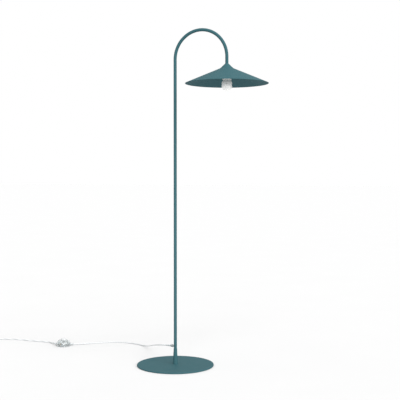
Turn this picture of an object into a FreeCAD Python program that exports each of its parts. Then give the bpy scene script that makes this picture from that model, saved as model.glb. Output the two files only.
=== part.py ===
import FreeCAD, Part
import math
import os

# Adjustable arm floor lamp. Millimetres, +Z up.
# The origin is the centre of the base's underside, on the floor, and the arm points along +X.

# Stand
TOTAL_HEIGHT = 1500.0
ARCH_RADIUS = 123.5
TUBE_D = 14.0
TUBE_WALL = 1.0
PLATE_D = 344.0
PLATE_THICKNESS = 5.0
PLATE_EDGE = 0.6
PAD_THICKNESS = 1.0
PAD_INSET = 4.0
FOOT_D = 23.0
FOOT_TOP_D = 14.8
FOOT_HEIGHT = 72.0
SPIGOT_LENGTH = 40.0
SPIGOT_WALL = 1.35
FOOT_SCREW_D = 8.0
FOOT_SCREW_HEAD_D = 15.8
FOOT_SCREW_GRIP = 15.0
FOOT_SCREW_KEY = 5.0

# Swivel joint in the stem
SEAM_Z = 740.0
SLEEVE_HALF_LENGTH = 50.0
SLEEVE_BORE_D = 7.2
WASHER_THICKNESS = 0.6
WASHER_INSET = 0.2
GROOVE_ABOVE_SEAM = 20.0
GROOVE_WIDTH = 4.0
GROOVE_DEPTH = 1.6
STOP_LUG_WIDTH = 1.0
STOP_SCREW_D = 3.0
STOP_TIP_D = 2.0

# Cable and cord grip
CORD_D = 5.5
CABLE_BEND = 5.0
GLAND_Z = 88.0
GLAND_NOSE_D = 8.0
GLAND_BODY_D = 12.0
GLAND_BODY_LENGTH = 7.0
GLAND_NUT_FLATS = 11.0
GLAND_NUT_LENGTH = 8.0
GLAND_SLEEVE_LENGTH = 20.0
GLAND_SLEEVE_ROOT_D = 9.0
GLAND_SLEEVE_TIP_D = 7.0

# Shade and the nipple that carries it
TUBE_END_BELOW_ARCH = 30.4
SHADE_SHEET = 1.0
SHADE_RIM_D = 363.8
SHADE_RIM_DROP = 85.3
SHADE_KINK_D = 58.6
SHADE_KINK_DROP = 20.8
SHADE_KINK_ROUND = 14.0
SHADE_TOP_ROUND = 1.6
NIPPLE_D = 10.0
NIPPLE_BORE_D = 7.6
BUSH_LENGTH = 14.0
NIPPLE_GRIP = 12.0
SPACER_D = 13.4
SPACER_HEIGHT = 4.0
NUT_FLATS = 14.0
NUT_HEIGHT = 3.0

# Lamp holder
HOLDER_D = 39.0
HOLDER_WALL = 1.6
HOLDER_NECK_D = 16.0
HOLDER_NECK_HEIGHT = 8.0
HOLDER_DOME_HEIGHT = 9.0
HOLDER_CAP_SKIRT = 9.7
HOLDER_CONTACT_DEPTH = 35.2
HOLDER_SKIRT = 28.0
CORE_ABOVE_TIP = 1.5
CORE_THICKNESS = 6.0
CORE_WALL = 1.7
CORE_SKIRT = 24.5
THREAD_SLEEVE_WALL = 0.6
THREAD_SLEEVE_LENGTH = 24.0
TERMINAL_OFFSET = 9.0
TERMINAL_SIZE = 5.0
TERMINAL_SCREW_D = 2.5
TERMINAL_HEAD_D = 4.0
CORE_WIRE_D = 1.8
CABLE_TAIL = 14.0

# Globe bulb
BULB_LENGTH = 75.0
GLOBE_D = 45.0
GLOBE_WALL = 1.2
GLOBE_STRAIGHT = 9.0
CAP_THREAD_D = 26.2
CAP_WALL = 0.4
CAP_LENGTH = 26.0
CAP_TOP_D = 22.0
TIP_D = 9.6
TIP_HEIGHT = 2.0
TIP_FLAT_D = 6.2
INSULATOR_HEIGHT = 4.5
COLLAR_WALL = 1.4
COLLAR_SHOULDER_D = 37.0
COLLAR_SLOPE_START = 5.0
COLLAR_BELOW_HOLDER = 0.8
COLLAR_NECK_D = 28.0
COLLAR_SPIGOT = 6.0
BOARD_THICKNESS = 1.2
DRIVER_WIDTH = 18.0
DRIVER_HEIGHT = 22.0
CAPACITOR_D = 7.2
CAPACITOR_HEIGHT = 11.8
LED_COUNT = 8
LED_RING_D = 22.0
LED_SIZE = 2.8
LED_HEIGHT = 0.8

# Foot switch
SWITCH_X = -695.0
SWITCH_Y = 168.0
SWITCH_D = 68.0
SWITCH_BASE_THICKNESS = 3.0
SWITCH_WALL = 2.0
SWITCH_SIDE_Z = 12.0
SWITCH_SHOULDER_Z = 32.0
SWITCH_HEIGHT = 39.0
COVER_MIDDLE_REACH = 0.74
COVER_MIDDLE_RISE = 0.66
SWITCH_CORD_Z = 7.0
ENTRY_TO_LAMP = 38.0
ENTRY_TO_WALL = 173.0
ENTRY_DEPTH = 22.0
ENTRY_STRAIGHT = 14.0
RELIEF_ROOT_D = 7.2
RELIEF_COLLAR_D = 9.6
RELIEF_TIP_D = 7.4
RELIEF_REACH = 16.0
BUTTON_D = 26.0
BUTTON_WALL = 1.5
BUTTON_CROWN = 1.4
BUTTON_FLANGE_D = 30.0
BUTTON_FLANGE_TOP_Z = 28.5
BUTTON_FLANGE_THICKNESS = 1.8
BUTTON_STEM_D = 7.0
BUTTON_STEM_LOW_Z = 14.5
MODULE_D = 24.0
MODULE_TOP_Z = 13.8
MODULE_WELL_Z = 10.5
SPRING_WIRE = 1.0
SWITCH_SCREW_RING_D = 50.0
SWITCH_SCREW_D = 2.6
SWITCH_SCREW_HEAD_D = 5.8
SWITCH_SCREW_TOP_Z = 12.0
SWITCH_POST_D = 6.8
SWITCH_SCREW_ANGLES = (105.0, 225.0, 345.0)

# Put-away coil and plug
COIL_X = -1131.5
COIL_Y = 116.0
COIL_TURN = 23.1
COIL_MID_R = 30.0
COIL_LIFT = 1.0
COIL_LAYERS = 2
COIL_SLACK = 0.2
COIL_ROUND = 2.4
TIE_THICKNESS = 0.8
TIE_WIDTH = 10.0
TAIL_START = 20.0
PLUG_TIP_Y = -46.0
PLUG_RELIEF_LENGTH = 26.0
PLUG_LENGTH = 37.0
PLUG_SHOULDER = 24.0
PLUG_WIDTH = 35.0
PLUG_REAR_WIDTH = 15.0
PLUG_HEIGHT = 13.7
PLUG_EDGE = 2.2
PIN_D = 4.0
PIN_LENGTH = 19.0
PIN_ROOT = 8.0
PIN_ROOT_D = 3.2
PIN_SPACING = 18.6

# Clearances
FIT = 0.05
LOOSE = 0.1
FREE = 0.3
ARC_SHARE = 0.45

# Worked out
TUBE_R = TUBE_D / 2
TUBE_BORE_R = TUBE_R - TUBE_WALL
CORD_R = CORD_D / 2
PLATE_TOP_Z = PAD_THICKNESS + PLATE_THICKNESS
FOOT_TOP_Z = PLATE_TOP_Z + FOOT_HEIGHT
ARCH_Z = TOTAL_HEIGHT - TUBE_R - ARCH_RADIUS
ARM_X = 2 * ARCH_RADIUS
TUBE_END_Z = ARCH_Z - TUBE_END_BELOW_ARCH
ARM_START_Z = SEAM_Z + WASHER_THICKNESS + FIT
SLEEVE_R = TUBE_BORE_R - FIT
SPACER_LOW_Z = TUBE_END_Z - SHADE_SHEET - SPACER_HEIGHT
HOLDER_TOP_Z = SPACER_LOW_Z - NUT_HEIGHT - FREE
HOLDER_SEAM_Z = HOLDER_TOP_Z - HOLDER_NECK_HEIGHT - HOLDER_DOME_HEIGHT - HOLDER_CAP_SKIRT
BULB_TIP_Z = HOLDER_TOP_Z - HOLDER_CONTACT_DEPTH
HOLDER_LOW_Z = BULB_TIP_Z - HOLDER_SKIRT
CORE_LOW_Z = BULB_TIP_Z + CORE_ABOVE_TIP
CORE_TOP_Z = CORE_LOW_Z + CORE_THICKNESS
THREAD_SLEEVE_R = CAP_THREAD_D / 2 + LOOSE
CAP_LOW_Z = BULB_TIP_Z - CAP_LENGTH
GLOBE_Z = BULB_TIP_Z - BULB_LENGTH + GLOBE_D / 2
GLOBE_TOP_Z = GLOBE_Z + GLOBE_STRAIGHT
CABLE_END_Z = HOLDER_TOP_Z - CABLE_TAIL
GLAND_SPLIT_X = -TUBE_R - GLAND_BODY_LENGTH
SWITCH_R = SWITCH_D / 2
ENTRY_RUN = SWITCH_R + RELIEF_REACH + ENTRY_STRAIGHT
COIL_HALF_WIDTH = CORD_D + COIL_SLACK
COIL_TOP_Z = COIL_LIFT + COIL_LAYERS * CORD_D + COIL_SLACK
COIL_OUTER_TURN_R = COIL_MID_R + CORD_R


def vector(x, y, z):
    return FreeCAD.Vector(x, y, z)


def cylinder(radius, low, high, x=0.0, y=0.0):
    return Part.makeCylinder(radius, high - low, vector(x, y, low))


def ring(outer, inner, low, high, x=0.0, y=0.0):
    """Upright ring between two radii."""
    hole = cylinder(inner, low - 1, high + 1, x, y)
    return cylinder(outer, low, high, x, y).cut(hole)


def rod(radius, start, end):
    """Round bar between two points."""
    axis = end - start
    return Part.makeCylinder(radius, axis.Length, start, axis)


def block(low, high):
    """Box between its lowest and highest corners."""
    size = high - low
    return Part.makeBox(size.x, size.y, size.z, low)


def turned(edges, x=0.0, y=0.0):
    """Solid of revolution of a closed outline of (radius, 0, z) edges about an upright line."""
    face = Part.Face(Part.Wire(edges))
    solid = Part.Solid(face.revolve(vector(0, 0, 0), vector(0, 0, 1), 360).Shells[0])
    if solid.Volume < 0:
        solid.reverse()
    solid.translate(vector(x, y, 0))
    return solid


def turned_polygon(profile, x=0.0, y=0.0):
    """Solid of revolution of a polygon of (radius, z) corners."""
    corners = [vector(radius, 0, z) for radius, z in profile]
    return turned(Part.makePolygon(corners + corners[:1]).Edges, x, y)


def rounded_edges(points, radii):
    """Straight edges through the points, with a tangent arc of its radius at each inner corner."""
    edges = []
    start = points[0]
    for before, corner, after, radius in zip(points, points[1:], points[2:], radii):
        inward = (corner - before).normalize()
        outward = (after - corner).normalize()
        half_turn = inward.getAngle(outward) / 2
        reach = radius * math.tan(half_turn)
        to_centre = (outward - inward).normalize()
        middle = corner + to_centre * (radius / math.cos(half_turn) - radius)
        arc_start = corner - inward * reach
        arc_end = corner + outward * reach
        edges.append(Part.LineSegment(start, arc_start).toShape())
        edges.append(Part.Arc(arc_start, middle, arc_end).toShape())
        start = arc_end
    edges.append(Part.LineSegment(start, points[-1]).toShape())
    return edges


def swept(path, radius):
    """Round bar along a smooth wire."""
    first = path.Edges[0]
    heading = first.tangentAt(first.FirstParameter)
    section = Part.Wire(Part.makeCircle(radius, path.Vertexes[0].Point, heading))
    return path.makePipeShell([section], True, False)


def arc_radii(points):
    """Largest tangent arcs that the runs beside each corner allow."""
    radii = []
    for before, corner, after in zip(points, points[1:], points[2:]):
        run_in = corner - before
        run_out = after - corner
        reach = ARC_SHARE * min(run_in.Length, run_out.Length)
        radii.append(reach / math.tan(run_in.getAngle(run_out) / 2))
    return radii


def cord_tube(name, points):
    """Cord of straight runs and tangent arcs through hand-chosen points."""
    radii = arc_radii(points)
    path = Part.Wire(rounded_edges(points, radii))
    solid = swept(path, CORD_R)
    share = solid.Volume / (path.Length * math.pi * CORD_R ** 2)
    print(name, "length", round(path.Length, 1), "volume share", round(share, 4))
    print(name, "radii", [round(radius) for radius in radii])
    return solid


def hexagon(flats, low, high, x=0.0, y=0.0):
    """Upright hexagonal bar."""
    corner_r = flats / math.sqrt(3)
    corners = []
    for index in range(7):
        angle = math.radians(60 * index)
        corners.append(vector(x + corner_r * math.cos(angle), y + corner_r * math.sin(angle), low))
    return Part.Face(Part.makePolygon(corners)).extrude(vector(0, 0, high - low))


def laid(shape, x, turn, z):
    """Shape made about +Z from z = 0, laid down so that its +Z points outward at an angle about Z."""
    shape.rotate(vector(0, 0, 0), vector(0, 1, 0), 90)
    shape.translate(vector(x, 0, z))
    shape.rotate(vector(0, 0, 0), vector(0, 0, 1), turn)
    return shape


# Stand -------------------------------------------------------------------------------------------

def floor_pad():
    return cylinder(PLATE_D / 2 - PAD_INSET, 0, PAD_THICKNESS)


def base_plate():
    """Round steel plate with a broken edge and a countersunk hole in the middle."""
    radius = PLATE_D / 2
    plate = cylinder(radius, PAD_THICKNESS, PLATE_TOP_Z)
    rims = [edge for edge in plate.Edges if edge.Length > PLATE_D and len(edge.Vertexes) == 1]
    plate = plate.makeChamfer(PLATE_EDGE, rims)
    hole = cylinder(FOOT_SCREW_D / 2 + LOOSE, 0, PLATE_TOP_Z + 1)
    return plate.cut(hole).cut(screw_head(LOOSE))


def screw_head(gap):
    """Countersunk head of the foot screw, grown by a gap."""
    head_r = FOOT_SCREW_HEAD_D / 2 + gap
    shank_r = FOOT_SCREW_D / 2 + gap
    depth = head_r - shank_r
    return Part.makeCone(head_r, shank_r, depth, vector(0, 0, PAD_THICKNESS))


def base_screw():
    shank = cylinder(FOOT_SCREW_D / 2, PAD_THICKNESS, PLATE_TOP_Z + FOOT_SCREW_GRIP)
    key = hexagon(FOOT_SCREW_KEY, 0, PAD_THICKNESS + FOOT_SCREW_KEY / 2)
    return shank.fuse(screw_head(0)).cut(key).removeSplitter()


def foot_cone():
    """Flared foot with a screw hole below and a hollow spigot for the stem above."""
    spigot_r = TUBE_BORE_R - FIT
    bore_r = spigot_r - SPIGOT_WALL
    bore_low = FOOT_TOP_Z - SPIGOT_WALL
    foot = Part.makeCone(FOOT_D / 2, FOOT_TOP_D / 2, FOOT_HEIGHT, vector(0, 0, PLATE_TOP_Z))
    foot = foot.fuse(cylinder(spigot_r, FOOT_TOP_Z - 1, FOOT_TOP_Z + SPIGOT_LENGTH))
    foot = foot.cut(cylinder(bore_r, bore_low, FOOT_TOP_Z + SPIGOT_LENGTH + 1))
    foot = foot.cut(cylinder(FOOT_SCREW_D / 2 + FIT, PLATE_TOP_Z - 1, PLATE_TOP_Z + FOOT_SCREW_GRIP + 1))
    return foot.cut(gland_hole())


def gland_hole():
    """Side hole for the cord grip's nose."""
    return rod(GLAND_NOSE_D / 2 + FIT, vector(-TUBE_D, 0, GLAND_Z), vector(0, 0, GLAND_Z))


def stem_lower_tube():
    return ring(TUBE_R, TUBE_BORE_R, FOOT_TOP_Z, SEAM_Z).cut(gland_hole())


def swivel_sleeve():
    """Sleeve that joins the tubes, with a groove round it that a lug interrupts on the arm's side."""
    sleeve = ring(SLEEVE_R, SLEEVE_BORE_D / 2, SEAM_Z - SLEEVE_HALF_LENGTH, SEAM_Z + SLEEVE_HALF_LENGTH)
    middle = SEAM_Z + GROOVE_ABOVE_SEAM
    low = middle - GROOVE_WIDTH / 2
    high = middle + GROOVE_WIDTH / 2
    groove = ring(TUBE_R, SLEEVE_R - GROOVE_DEPTH, low, high)
    lug = block(vector(0, -STOP_LUG_WIDTH / 2, low), vector(TUBE_D, STOP_LUG_WIDTH / 2, high))
    return sleeve.cut(groove.cut(lug))


def swivel_washer():
    return ring(TUBE_R - WASHER_INSET, SLEEVE_R + LOOSE, SEAM_Z, SEAM_Z + WASHER_THICKNESS)


def swivel_stop_screw():
    """Set screw through the arm tube whose tip runs in the sleeve's groove, away from the arm."""
    z = SEAM_Z + GROOVE_ABOVE_SEAM
    step_x = -TUBE_BORE_R - FIT
    tip_x = GROOVE_DEPTH - SLEEVE_R - 2 * LOOSE
    body = rod(STOP_SCREW_D / 2, vector(LOOSE - TUBE_R, 0, z), vector(step_x, 0, z))
    tip = rod(STOP_TIP_D / 2, vector(step_x, 0, z), vector(tip_x, 0, z))
    return body.fuse(tip)


# Cord grip and the cable inside --------------------------------------------------------------------

def cable_gland():
    """Clear cord grip: a threaded nose in the stem and a round body shaped to the tube."""
    nose_end = vector(SPIGOT_WALL - TUBE_BORE_R, 0, GLAND_Z)
    nose = rod(GLAND_NOSE_D / 2, vector(GLAND_SPLIT_X, 0, GLAND_Z), nose_end)
    body = rod(GLAND_BODY_D / 2, vector(GLAND_SPLIT_X, 0, GLAND_Z), vector(0, 0, GLAND_Z))
    body = body.cut(cylinder(TUBE_R + FIT, GLAND_Z - TUBE_D, GLAND_Z + TUBE_D))
    inside = cylinder(TUBE_BORE_R - FIT - SPIGOT_WALL, GLAND_Z - TUBE_D, GLAND_Z + TUBE_D)
    bore = rod(CORD_R + LOOSE, vector(-2 * TUBE_D, 0, GLAND_Z), vector(0, 0, GLAND_Z))
    return body.fuse(nose).cut(inside).cut(bore)


def gland_nut():
    """Hexagonal compression nut with a rounded nose."""
    nut = hexagon(GLAND_NUT_FLATS, 0, GLAND_NUT_LENGTH)
    nose = Part.makeCone(GLAND_NUT_FLATS, GLAND_NUT_FLATS / 2, GLAND_NUT_LENGTH)
    nut = nut.common(nose)
    nut = nut.cut(cylinder(GLAND_SLEEVE_ROOT_D / 2 + FIT, -1, GLAND_NUT_LENGTH + 1))
    return laid(nut, -GLAND_SPLIT_X, 180, GLAND_Z)


def gland_sleeve():
    """Soft tapered sleeve that guards the cord as it leaves the nut."""
    root = cylinder(GLAND_SLEEVE_ROOT_D / 2, 0, GLAND_NUT_LENGTH)
    taper = Part.makeCone(GLAND_SLEEVE_ROOT_D / 2, GLAND_SLEEVE_TIP_D / 2, GLAND_SLEEVE_LENGTH,
                          vector(0, 0, GLAND_NUT_LENGTH))
    bore = cylinder(CORD_R + FREE, -1, GLAND_NUT_LENGTH + GLAND_SLEEVE_LENGTH + 1)
    return laid(root.fuse(taper).cut(bore).removeSplitter(), -GLAND_SPLIT_X, 180, GLAND_Z)


def lower_inner_cable():
    """Cable from the cord grip, round a tight bend and up the stem to the seam."""
    points = [
        vector(GLAND_SPLIT_X, 0, GLAND_Z),
        vector(0, 0, GLAND_Z),
        vector(0, 0, SEAM_Z),
    ]
    return swept(Part.Wire(rounded_edges(points, [CABLE_BEND])), CORD_R)


def arch_path(low, end):
    """Centre line of the arm: up the stem, over the arch and down to its end."""
    top = vector(ARCH_RADIUS, 0, ARCH_Z + ARCH_RADIUS)
    edges = [
        Part.LineSegment(vector(0, 0, low), vector(0, 0, ARCH_Z)).toShape(),
        Part.Arc(vector(0, 0, ARCH_Z), top, vector(ARM_X, 0, ARCH_Z)).toShape(),
        Part.LineSegment(vector(ARM_X, 0, ARCH_Z), vector(ARM_X, 0, end)).toShape(),
    ]
    return Part.Wire(edges)


def upper_inner_cable():
    return swept(arch_path(SEAM_Z, CABLE_END_Z), CORD_R)


# Arm ---------------------------------------------------------------------------------------------

def arm_tube():
    """Upper stem, arch and down leg in one bent tube."""
    outside = swept(arch_path(ARM_START_Z, TUBE_END_Z), TUBE_R)
    inside = swept(arch_path(ARM_START_Z - 1, TUBE_END_Z - 1), TUBE_BORE_R)
    z = SEAM_Z + GROOVE_ABOVE_SEAM
    screw_hole = rod(STOP_SCREW_D / 2 + FIT, vector(-TUBE_D, 0, z), vector(-SLEEVE_R, 0, z))
    return outside.cut(inside).cut(screw_hole)


def arm_end_bush():
    return ring(TUBE_BORE_R - FIT, NIPPLE_D / 2 + FIT, TUBE_END_Z, TUBE_END_Z + BUSH_LENGTH, ARM_X)


def threaded_nipple():
    low = HOLDER_TOP_Z - HOLDER_NECK_HEIGHT
    return ring(NIPPLE_D / 2, NIPPLE_BORE_D / 2, low, TUBE_END_Z + NIPPLE_GRIP, ARM_X)


def mitred(points, distance):
    """Open profile moved towards its inside by a distance, with mitred corners."""
    moved = []
    for index, point in enumerate(points):
        before = points[max(index - 1, 0)]
        after = points[min(index + 1, len(points) - 1)]
        run_in = (point - before) if index else (after - point)
        run_out = (after - point) if index < len(points) - 1 else run_in
        side_in = vector(run_in.z, 0, -run_in.x).normalize()
        side_out = vector(run_out.z, 0, -run_out.x).normalize()
        half_turn = side_in.getAngle(side_out) / 2
        moved.append(point + (side_in + side_out).normalize() * (distance / math.cos(half_turn)))
    return moved


def shade():
    """Spun sheet shade: a flat top under the tube, a steep crown, a soft kink and a shallow cone."""
    hole_r = NIPPLE_D / 2 + LOOSE
    outside = [
        vector(hole_r, 0, TUBE_END_Z),
        vector(TUBE_R + FREE, 0, TUBE_END_Z),
        vector(SHADE_KINK_D / 2, 0, TUBE_END_Z - SHADE_KINK_DROP),
        vector(SHADE_RIM_D / 2, 0, TUBE_END_Z - SHADE_RIM_DROP),
    ]
    inside = mitred(outside, SHADE_SHEET)
    outer_edges = rounded_edges(outside, [SHADE_TOP_ROUND, SHADE_KINK_ROUND])
    inner_radii = [SHADE_KINK_ROUND + SHADE_SHEET, SHADE_TOP_ROUND - SHADE_SHEET]
    inner_edges = rounded_edges(inside[::-1], inner_radii)
    rim = Part.LineSegment(outside[-1], inside[-1]).toShape()
    bore = Part.LineSegment(inside[0], outside[0]).toShape()
    return turned(outer_edges + [rim] + inner_edges + [bore], ARM_X)


def shade_spacer():
    high = TUBE_END_Z - SHADE_SHEET
    return ring(SPACER_D / 2, NIPPLE_D / 2 + FIT, SPACER_LOW_Z, high, ARM_X)


def shade_nut():
    low = SPACER_LOW_Z - NUT_HEIGHT
    hole = cylinder(NIPPLE_D / 2 + FIT, low - 1, SPACER_LOW_Z + 1, ARM_X)
    return hexagon(NUT_FLATS, low, SPACER_LOW_Z, ARM_X).cut(hole)


# Lamp holder ---------------------------------------------------------------------------------------

def holder_cap():
    """Domed cap that screws on the nipple."""
    neck_low = HOLDER_TOP_Z - HOLDER_NECK_HEIGHT
    dome_low = neck_low - HOLDER_DOME_HEIGHT
    outer = HOLDER_D / 2
    inner = outer - HOLDER_WALL
    profile = [
        (NIPPLE_D / 2 + FIT, HOLDER_TOP_Z),
        (HOLDER_NECK_D / 2, HOLDER_TOP_Z),
        (HOLDER_NECK_D / 2, neck_low),
        (outer, dome_low),
        (outer, HOLDER_SEAM_Z),
        (inner, HOLDER_SEAM_Z),
        (inner, dome_low - HOLDER_WALL),
        (HOLDER_NECK_D / 2, neck_low - HOLDER_WALL),
        (NIPPLE_D / 2 + FIT, neck_low - HOLDER_WALL),
    ]
    return turned_polygon(profile, ARM_X)


def holder_shell():
    """Skirt of the holder, with a lip turned in at its mouth."""
    outer = HOLDER_D / 2
    inner = outer - HOLDER_WALL
    lip = inner - HOLDER_WALL
    profile = [
        (inner, HOLDER_SEAM_Z),
        (outer, HOLDER_SEAM_Z),
        (outer, HOLDER_LOW_Z + HOLDER_WALL),
        (outer - HOLDER_WALL, HOLDER_LOW_Z),
        (lip, HOLDER_LOW_Z),
        (lip, HOLDER_LOW_Z + HOLDER_WALL),
        (inner, HOLDER_LOW_Z + HOLDER_WALL),
    ]
    return turned_polygon(profile, ARM_X)


def holder_core():
    """Insulating core: a disc that carries the contacts and a skirt round the thread sleeve."""
    disc_r = HOLDER_D / 2 - HOLDER_WALL - LOOSE
    skirt_r = THREAD_SLEEVE_R + THREAD_SLEEVE_WALL + LOOSE
    disc = cylinder(disc_r, CORE_LOW_Z, CORE_TOP_Z, ARM_X)
    disc = disc.cut(cylinder(CORE_WIRE_D, CORE_LOW_Z - 1, CORE_TOP_Z + 1, ARM_X + TERMINAL_OFFSET))
    skirt = ring(skirt_r + CORE_WALL, skirt_r, CORE_LOW_Z - CORE_SKIRT, CORE_LOW_Z, ARM_X)
    return disc.fuse(skirt).removeSplitter()


def holder_thread_sleeve():
    inner = THREAD_SLEEVE_R
    return ring(inner + THREAD_SLEEVE_WALL, inner, CORE_LOW_Z - THREAD_SLEEVE_LENGTH, CORE_LOW_Z, ARM_X)


def holder_centre_contact():
    """Brass tongue over the bulb's tip, riveted through the core."""
    low = BULB_TIP_Z + FREE
    high = low + THREAD_SLEEVE_WALL
    half = TERMINAL_SIZE / 2
    tongue = block(vector(ARM_X - half, -half, low), vector(ARM_X + TERMINAL_OFFSET + half, half, high))
    rivet = cylinder(CORE_WIRE_D - LOOSE, low, CORE_TOP_Z + THREAD_SLEEVE_WALL, ARM_X + TERMINAL_OFFSET)
    return tongue.fuse(rivet)


def terminal_places():
    """Y places of the two terminals on the core."""
    return (-TERMINAL_OFFSET, TERMINAL_OFFSET)


def holder_terminals():
    """Two brass terminal blocks on the core."""
    half = TERMINAL_SIZE / 2
    blocks = []
    for y in terminal_places():
        low = vector(ARM_X - half, y - half, CORE_TOP_Z)
        body = block(low, low + vector(TERMINAL_SIZE, TERMINAL_SIZE, TERMINAL_SIZE))
        hole = cylinder(TERMINAL_SCREW_D / 2 + FIT, CORE_TOP_Z + half, CORE_TOP_Z + 2 * half + 1, ARM_X, y)
        blocks.append(body.cut(hole))
    return Part.makeCompound(blocks)


def holder_terminal_screws():
    screws = []
    for y in terminal_places():
        low = CORE_TOP_Z + TERMINAL_SIZE / 2 + FIT
        high = CORE_TOP_Z + TERMINAL_SIZE
        shank = cylinder(TERMINAL_SCREW_D / 2, low, high + FIT, ARM_X, y)
        head = cylinder(TERMINAL_HEAD_D / 2, high + FIT, high + TERMINAL_SCREW_D / 2, ARM_X, y)
        screws.append(shank.fuse(head))
    return Part.makeCompound(screws)


def cable_cores():
    """The two cores, from the cable's end to the terminals."""
    wires = []
    z = CORE_TOP_Z + TERMINAL_SIZE / 4
    for y in terminal_places():
        side = math.copysign(1, y)
        start_y = side * CORD_R / 2
        points = [
            vector(ARM_X, start_y, CABLE_END_Z),
            vector(ARM_X, start_y, z),
            vector(ARM_X, y - side * TERMINAL_SIZE / 2, z),
        ]
        wires.append(swept(Part.Wire(rounded_edges(points, [CORE_WIRE_D])), CORE_WIRE_D / 2))
    return Part.makeCompound(wires)


# Bulb --------------------------------------------------------------------------------------------

def bulb_tip():
    radius = TIP_D / 2
    profile = [
        (0, BULB_TIP_Z),
        (TIP_FLAT_D / 2, BULB_TIP_Z),
        (radius, BULB_TIP_Z - TIP_HEIGHT / 2),
        (radius, BULB_TIP_Z - TIP_HEIGHT),
        (0, BULB_TIP_Z - TIP_HEIGHT),
    ]
    return turned_polygon(profile, ARM_X)


def bulb_insulator():
    low = BULB_TIP_Z - TIP_HEIGHT - INSULATOR_HEIGHT
    return Part.makeCone(CAP_TOP_D / 2, TIP_D / 2, INSULATOR_HEIGHT, vector(ARM_X, 0, low))


def bulb_screw_cap():
    """Thin metal cap: a straight sleeve that stands for the thread, with a shoulder at its top."""
    top = BULB_TIP_Z - TIP_HEIGHT - INSULATOR_HEIGHT
    outer = CAP_THREAD_D / 2
    shoulder = outer - CAP_TOP_D / 2
    profile = [
        (outer, CAP_LOW_Z),
        (outer, top - shoulder),
        (CAP_TOP_D / 2, top),
        (CAP_TOP_D / 2 - CAP_WALL, top),
        (outer - CAP_WALL, top - shoulder - CAP_WALL / 2),
        (outer - CAP_WALL, CAP_LOW_Z),
    ]
    return turned_polygon(profile, ARM_X)


def bulb_collar():
    """Plastic housing that narrows from the dome to a shoulder under the holder, with a neck and a
    spigot up into the cap."""
    spigot_r = CAP_THREAD_D / 2 - CAP_WALL - FIT
    globe_r = GLOBE_D / 2
    shoulder_r = COLLAR_SHOULDER_D / 2
    slope_z = GLOBE_TOP_Z + COLLAR_SLOPE_START
    shoulder_z = HOLDER_LOW_Z - COLLAR_BELOW_HOLDER
    profile = [
        (globe_r, GLOBE_TOP_Z),
        (globe_r, slope_z),
        (shoulder_r, shoulder_z),
        (COLLAR_NECK_D / 2, shoulder_z),
        (COLLAR_NECK_D / 2, CAP_LOW_Z),
        (spigot_r, CAP_LOW_Z),
        (spigot_r, CAP_LOW_Z + COLLAR_SPIGOT),
        (spigot_r - COLLAR_WALL, CAP_LOW_Z + COLLAR_SPIGOT),
        (spigot_r - COLLAR_WALL, shoulder_z - COLLAR_WALL),
        (shoulder_r - COLLAR_WALL, shoulder_z - COLLAR_WALL),
        (globe_r - COLLAR_WALL, slope_z - COLLAR_WALL / 2),
        (globe_r - COLLAR_WALL, GLOBE_TOP_Z),
    ]
    return turned_polygon(profile, ARM_X)


def half_circle_to_axis(radius):
    """Arc of a circle about the globe's middle, from its side to its lowest point."""
    slant = radius * math.sqrt(0.5)
    side = vector(radius, 0, GLOBE_Z)
    middle = vector(slant, 0, GLOBE_Z - slant)
    return Part.Arc(side, middle, vector(0, 0, GLOBE_Z - radius)).toShape()


def bulb_globe():
    """Opal dome: a half sphere below a short straight wall."""
    outer = GLOBE_D / 2
    inner = outer - GLOBE_WALL
    edges = [
        half_circle_to_axis(outer),
        Part.LineSegment(vector(0, 0, GLOBE_Z - outer), vector(0, 0, GLOBE_Z - inner)).toShape(),
        half_circle_to_axis(inner),
        Part.LineSegment(vector(inner, 0, GLOBE_Z), vector(inner, 0, GLOBE_TOP_Z)).toShape(),
        Part.LineSegment(vector(inner, 0, GLOBE_TOP_Z), vector(outer, 0, GLOBE_TOP_Z)).toShape(),
        Part.LineSegment(vector(outer, 0, GLOBE_TOP_Z), vector(outer, 0, GLOBE_Z)).toShape(),
    ]
    return turned(edges, ARM_X)


def bulb_led_board():
    radius = GLOBE_D / 2 - COLLAR_WALL - FREE
    return cylinder(radius, GLOBE_TOP_Z, GLOBE_TOP_Z + BOARD_THICKNESS, ARM_X)


def bulb_leds():
    """Ring of square LEDs under the board."""
    ring_r = LED_RING_D / 2
    half = LED_SIZE / 2
    low = vector(ring_r - half, -half, GLOBE_TOP_Z - LED_HEIGHT)
    chips = []
    for index in range(LED_COUNT):
        chip = block(low, low + vector(LED_SIZE, LED_SIZE, LED_HEIGHT))
        chip.rotate(vector(0, 0, 0), vector(0, 0, 1), 360 * index / LED_COUNT)
        chip.translate(vector(ARM_X, 0, 0))
        chips.append(chip)
    return Part.makeCompound(chips)


def bulb_driver():
    """Upright circuit board in the neck with one capacitor on it."""
    low = GLOBE_TOP_Z + BOARD_THICKNESS
    half = DRIVER_WIDTH / 2
    board = block(vector(ARM_X - half, 0, low), vector(ARM_X + half, BOARD_THICKNESS, low + DRIVER_HEIGHT))
    can_r = CAPACITOR_D / 2
    can_low = low + can_r
    can = cylinder(can_r, can_low, can_low + CAPACITOR_HEIGHT, ARM_X, -can_r)
    return board.fuse(can)


# Foot switch ---------------------------------------------------------------------------------------

def at_switch(shape):
    """Shape made about the switch's own centre, put in its place."""
    shape.translate(vector(SWITCH_X, SWITCH_Y, 0))
    return shape


def switch_entries():
    return (ENTRY_TO_LAMP, ENTRY_TO_WALL)


def screw_places():
    """Centres of the housing screws about the switch's centre."""
    ring_r = SWITCH_SCREW_RING_D / 2
    angles = [math.radians(angle) for angle in SWITCH_SCREW_ANGLES]
    return [(ring_r * math.cos(angle), ring_r * math.sin(angle)) for angle in angles]


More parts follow.
